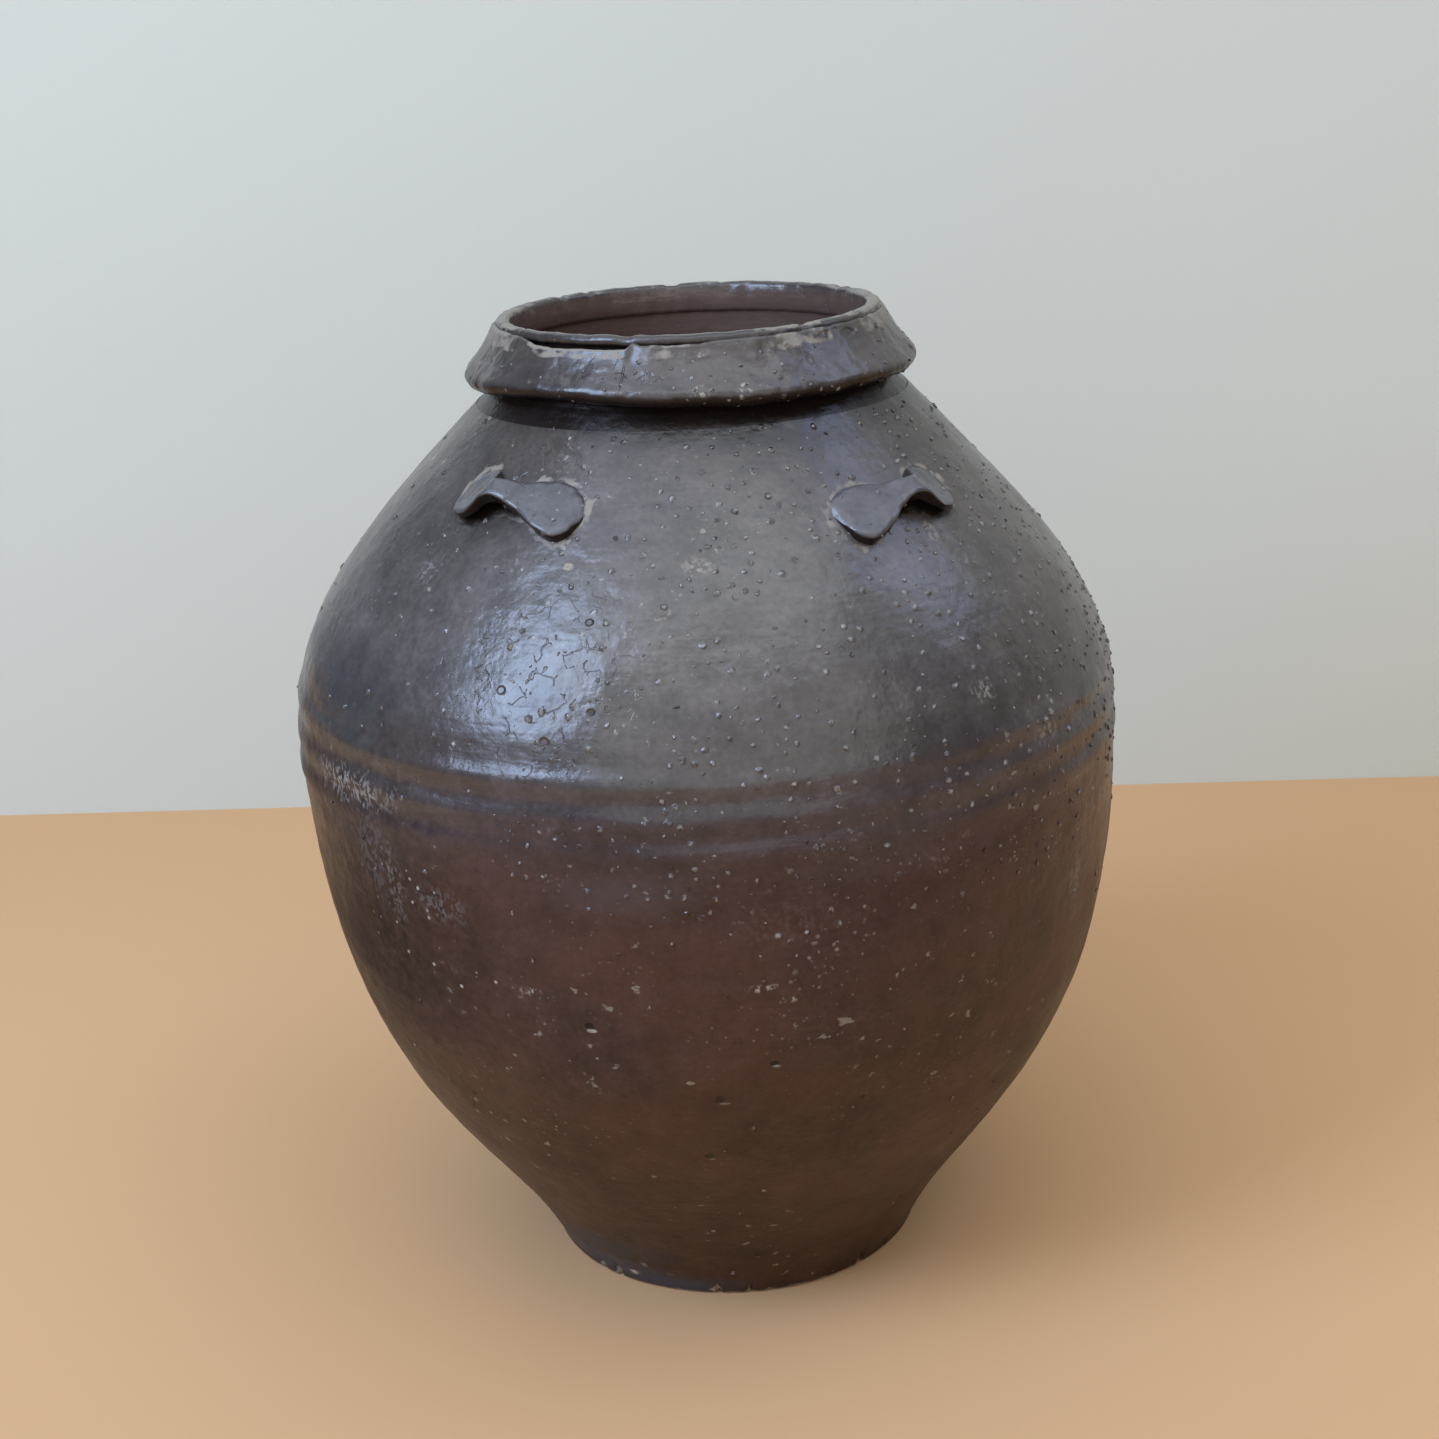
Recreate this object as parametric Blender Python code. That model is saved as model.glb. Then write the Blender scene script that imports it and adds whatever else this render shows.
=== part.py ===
"""Stoneware storage jar with a collared mouth and four cord lugs, in metres, +Z up.

The origin is the centre of the foot, on the surface that the jar stands on. The
potter makes each piece by itself and lutes it to the next one with slip, so every
seam here is a bevelled seat with a thin slip line left between the two pieces.
"""
import math

import bmesh
import bpy

# Driving sizes of the wall
FOOT_RADIUS = 0.0690
BELLY_RADIUS = 0.1470
BELLY_HEIGHT = 0.2046
SHOULDER_HEIGHT = 0.1189
NECK_HEIGHT = 0.0265
WALL = 0.0090
FLOOR = 0.0120
FLOOR_TURN_UP = 0.0100
FOOT_EDGE_ROUND = 0.0028

# Two cubic arcs draw the wall: how far each one keeps its direction at its ends
FOOT_LEAN = math.radians(67.0)
FOOT_REACH = 0.0655
BELLY_REACH_DOWN = 0.1319
BELLY_REACH_UP = 0.0413
SHOULDER_LEAN = math.radians(45.3)
SHOULDER_REACH = 0.0783

# Throwing ridges round the belly
RIDGE_COUNT = 3
RIDGE_PITCH = 0.0115
RIDGE_HEIGHT = 0.0013
RIDGES_BELOW_BELLY = 0.0085

# Mouth: the neck ring with its rolled lip, and the seat that the collar is wrapped on
MOUTH_RADIUS = 0.0614
LIP_WALL = 0.0054
LIP_ROUND = 0.0016
LIP_OVERHANG = 0.0012
LEDGE_WIDTH = 0.0011
LEDGE_DROP = 0.0105
NECK_WALL = 0.0070
NECK_FLARE = 0.0018
NECK_RISE = 0.0035
ROOT_SPREAD = 0.0024
NECK_LAP = 0.0030

# Collar band: a thin crest, a hollow face and a thick rolled edge under it
COLLAR_OVERHANG = 0.0084
COLLAR_DROP = 0.0042
COLLAR_CREST_WALL = 0.0022
COLLAR_HOLLOW = 0.0007
COLLAR_ROLL = 0.0034
COLLAR_ROLL_LIFT = 0.0032
COLLAR_SEAT_LIFT = 0.0015
COLLAR_ROLL_TOP = math.radians(35.0)
COLLAR_ROLL_UNDER = math.radians(-75.0)
SEAM_DEPTH = 0.0072

# Lugs: a strap of clay pressed down by two thumbs, with an arched waist between
LUG_LENGTH = 0.0480
LUG_LOBE_WIDTH = 0.0225
LUG_WAIST_WIDTH = 0.0076
LUG_LOBE_THICKNESS = 0.0046
LUG_WAIST_THICKNESS = 0.0046
LUG_END_THICKNESS = 0.0018
LUG_HOLE_HEIGHT = 0.0084
LUG_HOLE_LENGTH = 0.0250
LUG_LOBE_SAG = 0.0008

# Seams between the pieces
JOINT_BEVEL = 0.0030
SLIP_LINE = 0.0003

# Places along the wall, as shares of the height that they stand on
LOWER_JOINT_SHARE = 0.58
UPPER_JOINT_SHARE = 0.36
NECK_HOLLOW_SHARE = 0.60
LUG_LOBE_PLACE_SHARE = 0.60
LUG_WAIST_FLAT_SHARE = 0.06

# Lugs by hand and eye: degrees round from the front, and share of the shoulder's height
LUG_PLACE_SHARES = {"lug_front_left": (-35.8, 0.790), "lug_front_right": (38.2, 0.762),
                    "lug_back_left": (-143.0, 0.780), "lug_back_right": (143.0, 0.780)}

# The strap's section: across the width from its middle, and up through the thickness
LUG_SECTION_SHARES = ((0.90, 0.00), (1.00, 0.42), (0.74, 0.86), (0.28, 1.00),
                      (-0.28, 1.00), (-0.74, 0.86), (-1.00, 0.42), (-0.90, 0.00), (0.00, 0.00))

# Fineness of the mesh
ROUND_STEPS = 60
WALL_STEPS = 8
INNER_STEPS = 6
RIDGE_STEPS = 5
ARC_STEPS = 3
LUG_STATIONS = 21
CREASE_ANGLE = math.radians(38.0)
QUARTER = math.pi / 2
MERGE = SLIP_LINE / 30
HALVINGS = 40

root_level = BELLY_HEIGHT + SHOULDER_HEIGHT
rim_level = root_level + NECK_HEIGHT
lower_joint = BELLY_HEIGHT * LOWER_JOINT_SHARE
upper_joint = BELLY_HEIGHT + SHOULDER_HEIGHT * UPPER_JOINT_SHARE
neck_joint = root_level - NECK_LAP

waist_radius = MOUTH_RADIUS + NECK_FLARE + NECK_WALL
waist_level = root_level + NECK_RISE
root_radius = waist_radius + ROOT_SPREAD
lip_radius = MOUTH_RADIUS + LIP_WALL


def clear_scene():
    for thing in list(bpy.data.objects):
        bpy.data.objects.remove(thing, do_unlink=True)


def clay(name, colour, roughness):
    """A fired clay surface: a Principled material in the piece's own colour."""
    material = bpy.data.materials.new(name)
    material.use_nodes = True
    shader = material.node_tree.nodes["Principled BSDF"]
    shader.inputs["Base Color"].default_value = (*colour, 1.0)
    shader.inputs["Roughness"].default_value = roughness
    shader.inputs["Metallic"].default_value = 0.0
    return material


def mix(a, b, share):
    return a + (b - a) * share


def steps(start, end, count):
    """Evenly spaced values from start to end, both included."""
    return [mix(start, end, i / count) for i in range(count + 1)]


def arc(centre, radius, start, end):
    """Points round a bend, with angles counted from the outward radius."""
    count = round(ARC_STEPS * abs(end - start) / QUARTER)
    return [(centre[0] + radius * math.cos(a), centre[1] + radius * math.sin(a))
            for a in steps(start, end, count)]


def wall_arcs():
    """The lower and the upper arc, each with its end points and two reach points."""
    foot = (FOOT_RADIUS, 0)
    belly = (BELLY_RADIUS, BELLY_HEIGHT)
    root = (root_radius, root_level)
    lower = (foot,
             (foot[0] + FOOT_REACH * math.cos(FOOT_LEAN), FOOT_REACH * math.sin(FOOT_LEAN)),
             (belly[0], belly[1] - BELLY_REACH_DOWN),
             belly)
    upper = (belly,
             (belly[0], belly[1] + BELLY_REACH_UP),
             (root[0] + SHOULDER_REACH * math.cos(SHOULDER_LEAN),
              root[1] - SHOULDER_REACH * math.sin(SHOULDER_LEAN)),
             root)
    return lower, upper


def on_arc(points, t):
    """Place and direction on a cubic arc."""
    rest = 1 - t
    weights = (rest ** 3, 3 * rest * rest * t, 3 * rest * t * t, t ** 3)
    place = [sum(w * p[k] for w, p in zip(weights, points)) for k in (0, 1)]
    slopes = (rest * rest, 2 * rest * t, t * t)
    ahead = [sum(w * (q[k] - p[k]) for w, p, q in zip(slopes, points, points[1:])) for k in (0, 1)]
    return place, ahead


def ridge(level):
    """How far the throwing ridges stand out of the wall at a level."""
    turns = (level - BELLY_HEIGHT + RIDGES_BELOW_BELLY) / RIDGE_PITCH
    if 0 < turns < RIDGE_COUNT:
        return RIDGE_HEIGHT * math.sin(math.pi * turns) ** 2
    return 0


def wall_frame(level):
    """The wall's outer point at a level, and the outward normal there."""
    points = wall_arcs()[level > BELLY_HEIGHT]
    low, high = 0.0, 1.0
    for _ in range(HALVINGS):
        middle = (low + high) / 2
        if on_arc(points, middle)[0][1] < level:
            low = middle
        else:
            high = middle
    (radius, height), (across, up) = on_arc(points, (low + high) / 2)
    length = math.hypot(across, up)
    return (radius, height), (up / length, -across / length)


def wall_point(level, depth=0):
    """A point under the wall's outer face, square to it. A negative depth stands proud."""
    (radius, height), (out, up) = wall_frame(level)
    if depth == 0:
        depth = -ridge(level)
    return radius - depth * out, height - depth * up


def seat(level, lift=0):
    """The joint face of a wall from outside to inside, dished to centre the piece above."""
    return [wall_point(level + lift),
            wall_point(level + lift - JOINT_BEVEL, WALL / 2),
            wall_point(level + lift, WALL)]


def outer_levels(top, bottom):
    """Levels down the outer face, close together across the throwing ridges."""
    ridge_low = BELLY_HEIGHT - RIDGES_BELOW_BELLY
    ridge_high = ridge_low + RIDGE_COUNT * RIDGE_PITCH
    if top < ridge_high or bottom > ridge_low:
        return steps(top, bottom, WALL_STEPS)
    return (steps(top, ridge_high, INNER_STEPS // 3)
            + steps(ridge_high, ridge_low, RIDGE_COUNT * RIDGE_STEPS)[1:]
            + steps(ridge_low, bottom, WALL_STEPS // 2)[1:])


def wall_section(top, bottom):
    """Outline of one thrown length of wall between two seats."""
    low_seat = seat(bottom, SLIP_LINE)
    high_seat = seat(top)
    outer = [wall_point(level) for level in outer_levels(top, bottom + SLIP_LINE)]
    inner = [wall_point(level, WALL) for level in steps(bottom + SLIP_LINE, top, INNER_STEPS)]
    return outer + [low_seat[1]] + inner + [high_seat[1]]


def foot_slab():
    """Outline of the beaten base slab: flat below, turned up to the wall's seat at its edge."""
    edge = (wall_point(FOOT_EDGE_ROUND)[0] - FOOT_EDGE_ROUND, FOOT_EDGE_ROUND)
    outer, groove, inner = seat(FLOOR)
    return ([(0, FLOOR), (inner[0] - FLOOR_TURN_UP, FLOOR), inner, groove, outer]
            + arc(edge, FOOT_EDGE_ROUND, 0, -QUARTER)
            + [(0, 0)])


def collar_seat(level):
    """Radius of the neck ring's outer face, which leans in from the waist to the lip."""
    share = (level - waist_level) / (rim_level - LIP_ROUND - waist_level)
    return mix(waist_radius, lip_radius, share)


def neck_ring():
    """Outline of the thrown neck: rolled lip, seam, collar seat, root and inside ledge."""
    foot_of_neck = seat(neck_joint, SLIP_LINE)
    seam_level = rim_level - SEAM_DEPTH
    ledge_level = rim_level - LEDGE_DROP
    inside_waist = MOUTH_RADIUS + NECK_FLARE
    throat_radius = lip_radius - LIP_OVERHANG
    lip_outside = (lip_radius - LIP_ROUND, rim_level - LIP_ROUND)
    lip_inside = (MOUTH_RADIUS + LIP_ROUND, rim_level - LIP_ROUND)
    return (arc(lip_outside, LIP_ROUND, QUARTER, 0)
            + [(throat_radius, lip_outside[1] - LIP_ROUND),
               (throat_radius, seam_level),
               (collar_seat(seam_level), seam_level),
               (waist_radius, waist_level),
               wall_point(root_level)]
            + foot_of_neck
            + [(mix(foot_of_neck[-1][0], inside_waist, NECK_HOLLOW_SHARE),
                mix(foot_of_neck[-1][1], waist_level, 1 - NECK_HOLLOW_SHARE)),
               (inside_waist, waist_level),
               (MOUTH_RADIUS + LEDGE_WIDTH, ledge_level),
               (MOUTH_RADIUS, ledge_level + LEDGE_WIDTH)]
            + arc(lip_inside, LIP_ROUND, math.pi, QUARTER))


def collar_band():
    """Outline of the band wrapped round the neck: crest, hollow face, rolled edge, seat."""
    half_crest = COLLAR_CREST_WALL / 2
    seam_level = rim_level - SEAM_DEPTH
    seat_top = collar_seat(seam_level) + SLIP_LINE
    crest = (seat_top + half_crest, rim_level - COLLAR_DROP - half_crest)
    roll = (waist_radius + COLLAR_OVERHANG - COLLAR_ROLL, waist_level + COLLAR_ROLL_LIFT)
    crest_arc = arc(crest, half_crest, math.pi, 0)
    roll_arc = arc(roll, COLLAR_ROLL, COLLAR_ROLL_TOP, COLLAR_ROLL_UNDER)
    high, low = crest_arc[-1], roll_arc[0]
    face = [(mix(high[0], low[0], t) - COLLAR_HOLLOW * math.sin(math.pi * t), mix(high[1], low[1], t))
            for t in steps(0, 1, ARC_STEPS + 1)[1:-1]]
    return (crest_arc + face + roll_arc
            + [(waist_radius + SLIP_LINE, waist_level + COLLAR_SEAT_LIFT), (seat_top, seam_level)])


def turn(name, outline, material):
    """Turn a closed outline round the jar's axis into one solid."""
    mesh = bpy.data.meshes.new(name)
    form = bmesh.new()
    corners = [form.verts.new((radius, 0, height)) for radius, height in outline]
    on_axis = [corner for corner in corners if corner.co.x == 0]
    pairs = list(zip(corners, corners[1:] + corners[:1]))
    edges = [form.edges.new(pair) for pair in pairs if not all(c in on_axis for c in pair)]
    bmesh.ops.spin(form, geom=corners + edges, cent=(0, 0, 0), axis=(0, 0, 1), dvec=(0, 0, 0),
                   angle=math.tau, steps=ROUND_STEPS, use_merge=True)
    bmesh.ops.remove_doubles(form, verts=form.verts, dist=MERGE)
    bmesh.ops.recalc_face_normals(form, faces=form.faces)
    form.to_mesh(mesh)
    form.free()
    return place(name, mesh, material)


def place(name, mesh, material):
    mesh.shade_smooth()
    mesh.set_sharp_from_angle(angle=CREASE_ANGLE)
    mesh.materials.append(material)
    piece = bpy.data.objects.new(name, mesh)
    bpy.context.scene.collection.objects.link(piece)
    return piece


def lug_sizes(u):
    """Half width, thickness, height over the wall and sag of the strap at u, from -1 to 1."""
    along = abs(u)
    if along < LUG_LOBE_PLACE_SHARE:
        swell = math.sin(math.pi / 2 * along / LUG_LOBE_PLACE_SHARE) ** 2
        thickness = mix(LUG_WAIST_THICKNESS, LUG_LOBE_THICKNESS, swell)
        half_width = mix(LUG_WAIST_WIDTH, LUG_LOBE_WIDTH, swell) / 2
    else:
        past = (along - LUG_LOBE_PLACE_SHARE) / (1 - LUG_LOBE_PLACE_SHARE)
        swell = math.sqrt(max(0, 1 - past * past))
        thickness = mix(LUG_END_THICKNESS, LUG_LOBE_THICKNESS, swell)
        half_width = mix(LUG_END_THICKNESS, LUG_LOBE_WIDTH / 2, swell)
    opened = abs(u) * LUG_LENGTH / LUG_HOLE_LENGTH
    arched = max(0, min(1, (opened - LUG_WAIST_FLAT_SHARE) / (1 - LUG_WAIST_FLAT_SHARE)))
    rise = SLIP_LINE + LUG_HOLE_HEIGHT * math.cos(math.pi / 2 * arched) ** 2
    return half_width, thickness, rise, LUG_LOBE_SAG * swell


def lug(name, turned, level_share, material):
    """Loft the strap's section along the shoulder, laid on the curve of the wall."""
    lug_level = BELLY_HEIGHT + SHOULDER_HEIGHT * level_share
    (radius, _), (out, _) = wall_frame(lug_level)
    form = bmesh.new()
    rings = []
    for i in range(LUG_STATIONS):
        u = math.sin(math.pi * (i / (LUG_STATIONS - 1) - 0.5))
        half_width, thickness, rise, sag = lug_sizes(u)
        angle = math.radians(turned - 90) + u * LUG_LENGTH / 2 / radius
        ring = []
        for across, up in LUG_SECTION_SHARES:
            level = lug_level - (across * half_width + sag) * out
            r, z = wall_point(level, -rise - up * thickness)
            ring.append(form.verts.new((r * math.cos(angle), r * math.sin(angle), z)))
        rings.append(ring)
    for near, far in zip(rings, rings[1:]):
        for a, b, c, d in zip(near, near[1:] + near[:1], far[1:] + far[:1], far):
            form.faces.new((a, b, c, d))
    form.faces.new(rings[0])
    form.faces.new(rings[-1])
    bmesh.ops.recalc_face_normals(form, faces=form.faces)
    mesh = bpy.data.meshes.new(name)
    form.to_mesh(mesh)
    form.free()
    return place(name, mesh, material)


clear_scene()

turn("foot_base", foot_slab(), clay("foot_base", (0.062, 0.045, 0.038), 0.55))
turn("lower_wall", wall_section(lower_joint, FLOOR), clay("lower_wall", (0.052, 0.034, 0.028), 0.38))
turn("belly_wall", wall_section(upper_joint, lower_joint), clay("belly_wall", (0.060, 0.043, 0.039), 0.36))
turn("shoulder_wall", wall_section(neck_joint, upper_joint),
     clay("shoulder_wall", (0.085, 0.075, 0.066), 0.36))
turn("neck_ring", neck_ring(), clay("neck_ring", (0.190, 0.165, 0.140), 0.60))
turn("collar_band", collar_band(), clay("collar_band", (0.105, 0.095, 0.086), 0.40))

for name, (turned, level_share) in LUG_PLACE_SHARES.items():
    lug(name, turned, level_share, clay(name, (0.095, 0.084, 0.076), 0.36))
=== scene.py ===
"""Looks of the stoneware storage jar, in metres, +Z up, -Y to the front.

The real jar is iron-rich clay, thrown in lengths, luted together and fired once under a
dark iron-brown glaze. Each section below makes one piece of it, from the foot up.
"""
import math
from functools import partial

import bmesh
import bpy
import numpy as np
from mathutils import Matrix, Vector, noise


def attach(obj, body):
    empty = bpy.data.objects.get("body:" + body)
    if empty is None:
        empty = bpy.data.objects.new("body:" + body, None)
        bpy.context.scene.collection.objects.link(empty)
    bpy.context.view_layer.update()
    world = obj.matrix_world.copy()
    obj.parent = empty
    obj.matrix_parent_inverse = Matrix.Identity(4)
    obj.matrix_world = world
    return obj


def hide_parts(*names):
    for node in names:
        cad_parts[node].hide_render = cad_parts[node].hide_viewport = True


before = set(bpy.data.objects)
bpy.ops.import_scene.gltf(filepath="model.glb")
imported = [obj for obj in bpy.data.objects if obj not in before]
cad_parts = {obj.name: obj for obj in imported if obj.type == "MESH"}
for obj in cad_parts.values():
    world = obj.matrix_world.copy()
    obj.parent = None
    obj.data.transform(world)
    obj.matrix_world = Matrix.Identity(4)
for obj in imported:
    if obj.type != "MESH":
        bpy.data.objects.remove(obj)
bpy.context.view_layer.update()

# The wall, in three lengths. Iron-rich stoneware clay, thrown on the wheel and luted end to
# end, so one pair of curves draws the whole side. Three finger ridges run round the belly,
# and the glaze boiled into small blebs as it melted, most of them on the right-hand side.
FOOT_RADIUS = 0.0690
BELLY_RADIUS = 0.1470
BELLY_HEIGHT = 0.2046
SHOULDER_HEIGHT = 0.1189
ROOT_RADIUS = 0.0726
ROOT_LEVEL = BELLY_HEIGHT + SHOULDER_HEIGHT
RIM_LEVEL = ROOT_LEVEL + 0.0265
FOOT_LEAN = math.radians(67.0)
FOOT_REACH = 0.0655
BELLY_REACH_DOWN = 0.1319
BELLY_REACH_UP = 0.0413
SHOULDER_LEAN = math.radians(45.3)
SHOULDER_REACH = 0.0783
WALL = 0.0090
FLOOR = 0.0120
LOWER_JOINT = 0.58 * BELLY_HEIGHT
UPPER_JOINT = BELLY_HEIGHT + 0.36 * SHOULDER_HEIGHT
NECK_JOINT = ROOT_LEVEL - 0.0030

LOWER_ARC = ((FOOT_RADIUS, 0.0),
             (FOOT_RADIUS + FOOT_REACH * math.cos(FOOT_LEAN), FOOT_REACH * math.sin(FOOT_LEAN)),
             (BELLY_RADIUS, BELLY_HEIGHT - BELLY_REACH_DOWN),
             (BELLY_RADIUS, BELLY_HEIGHT))
UPPER_ARC = ((BELLY_RADIUS, BELLY_HEIGHT),
             (BELLY_RADIUS, BELLY_HEIGHT + BELLY_REACH_UP),
             (ROOT_RADIUS + SHOULDER_REACH * math.cos(SHOULDER_LEAN),
              ROOT_LEVEL - SHOULDER_REACH * math.sin(SHOULDER_LEAN)),
             (ROOT_RADIUS, ROOT_LEVEL))

# The lengths don't stand quite true: (level, how far off to the right)
OFF_TRUE = ((0.0, 0.0009), (0.120, 0.0009), (0.250, -0.0013), (0.292, -0.0013), (NECK_JOINT, 0.0))

# Unevenness of hand throwing, from broad swells to wheel lines: width, height and depth
SWELLS = ((0.090, 0.065, 0.0012), (0.150, 0.013, 0.0005), (0.024, 0.018, 0.0007),
          (0.0080, 0.0065, 0.00032), (0.110, 0.0055, 0.00018))

# Sides where the blebs stand thick: azimuth, where that starts and is full, as the cosine of
# the angle to it, and how much it adds to the few that stand anywhere
BLEB_SIDES = ((36, 0.30, 0.92, 0.95), (-24, 0.75, 0.97, 0.22), (200, 0.30, 0.90, 0.40))
BLEBS_ANYWHERE = 0.05


def add(tree, kind, *values, **settings):
    """Add a node with these settings; values fill its sockets in order, a dict by name.

    A kind that names no family is a shader node, and its operation may follow it.
    """
    kind, _, operation = kind.partition(" ")
    node = tree.nodes.new(kind if "Node" in kind else "ShaderNode" + kind)
    if operation:
        node.operation = operation
    for setting, value in settings.items():
        setattr(node, setting, value)
    wanted = {}
    for place, value in enumerate(values):
        wanted.update(value if isinstance(value, dict) else {place: value})
    for socket, value in wanted.items():
        if isinstance(socket, str):
            socket = next(s for s in node.inputs if s.enabled and s.name == socket)
        else:
            socket = node.inputs[socket]
        if isinstance(value, bpy.types.Node):
            value = next(s for s in value.outputs if s.enabled)
        if isinstance(value, bpy.types.NodeSocket):
            tree.links.new(value, socket)
        else:
            socket.default_value = value
    return node


def along_arc(points, count=2000):
    """A cubic arc as columns: radius, level, its slope in each, and the share of it passed."""
    t = np.linspace(0, 1, count)[:, None]
    a, b, c, d = (np.array(p) for p in points)
    line = a * (1 - t) ** 3 + 3 * b * t * (1 - t) ** 2 + 3 * c * t * t * (1 - t) + d * t ** 3
    slope = np.gradient(line, axis=0)
    run = np.cumsum(np.linalg.norm(slope, axis=1))
    return (*line.T, *slope.T, (run - run[0]) / (run[-1] - run[0]))


SIDE = [along_arc(LOWER_ARC), along_arc(UPPER_ARC)]


def share_at(level):
    """Where a level lies on the wall: 0 to 1 up the lower arc, 1 to 2 up the upper one."""
    upper = int(level > BELLY_HEIGHT)
    _, levels, _, _, shares = SIDE[upper]
    return upper + float(np.interp(level, levels, shares))


def wall_frame(level):
    """The wall's outer radius at a level, and its outward normal as (out, up)."""
    radii, levels, across, up, _ = SIDE[int(level > BELLY_HEIGHT)]
    radius, across, up = (float(np.interp(level, levels, column)) for column in (radii, across, up))
    length = math.hypot(across, up)
    return radius, (up / length, -across / length)


def off_true(level):
    """How far the wall stands off the axis at a level, to the right."""
    levels, shifts = zip(*OFF_TRUE)
    return float(np.interp(level, levels, shifts))


def on_wall(azimuth, level, height=0.0):
    """A point on the wall's outer face, or a height over it, by its azimuth in radians."""
    radius, (out, up) = wall_frame(level)
    reach = radius + height * out
    return Vector((reach * math.sin(azimuth) + off_true(level), -reach * math.cos(azimuth),
                   level + height * up))


def wall_axes(azimuth, level):
    """The wall's own axes there, as a matrix: along to the right, up the slope, and outwards."""
    _, (out, up) = wall_frame(level)
    along = Vector((math.cos(azimuth), math.sin(azimuth), 0))
    outward = Vector((out * math.sin(azimuth), -out * math.cos(azimuth), up))
    return Matrix((along, outward.cross(along), outward)).transposed()


def tree_inputs(tree, sockets):
    """Give a geometry tree its named inputs and its output, and return the inputs' sockets."""
    kinds = {float: "NodeSocketFloat", int: "NodeSocketInt", tuple: "NodeSocketVector",
             bpy.types.Mesh: "NodeSocketGeometry", bpy.types.Material: "NodeSocketMaterial"}
    for name, value in sockets.items():
        kind = kinds[value if isinstance(value, type) else type(value)]
        socket = tree.interface.new_socket(name, in_out="INPUT", socket_type=kind)
        if not isinstance(value, type):
            socket.default_value = value
    tree.interface.new_socket("Clay", in_out="OUTPUT", socket_type="NodeSocketGeometry")
    return tree.nodes.new("NodeGroupInput").outputs


def placed(name, data):
    """Put these data into the scene as an object, and return it."""
    thing = bpy.data.objects.new(name, data)
    bpy.context.scene.collection.objects.link(thing)
    return thing


def grown(name, tree, values, start=None):
    """Run a geometry tree with these values, and return its result as one plain mesh object."""
    worker = placed(name, start or bpy.data.meshes.new(name))
    modifier = worker.modifiers.new("grow", "NODES")
    modifier.node_group = tree
    for item in tree.interface.items_tree:
        if item.in_out == "INPUT" and item.name in values:
            modifier[item.identifier] = values[item.name]
    ready = worker.evaluated_get(bpy.context.evaluated_depsgraph_get())
    mesh = bpy.data.meshes.new_from_object(ready)
    worker.modifiers.remove(modifier)
    worker.data = mesh
    mesh.name = name
    return worker


def smooth(mesh, crease=math.radians(40)):
    """Shade a mesh smooth, with a hard line where it turns by more than the crease."""
    mesh.shade_smooth()
    mesh.set_sharp_from_angle(angle=crease)


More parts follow.
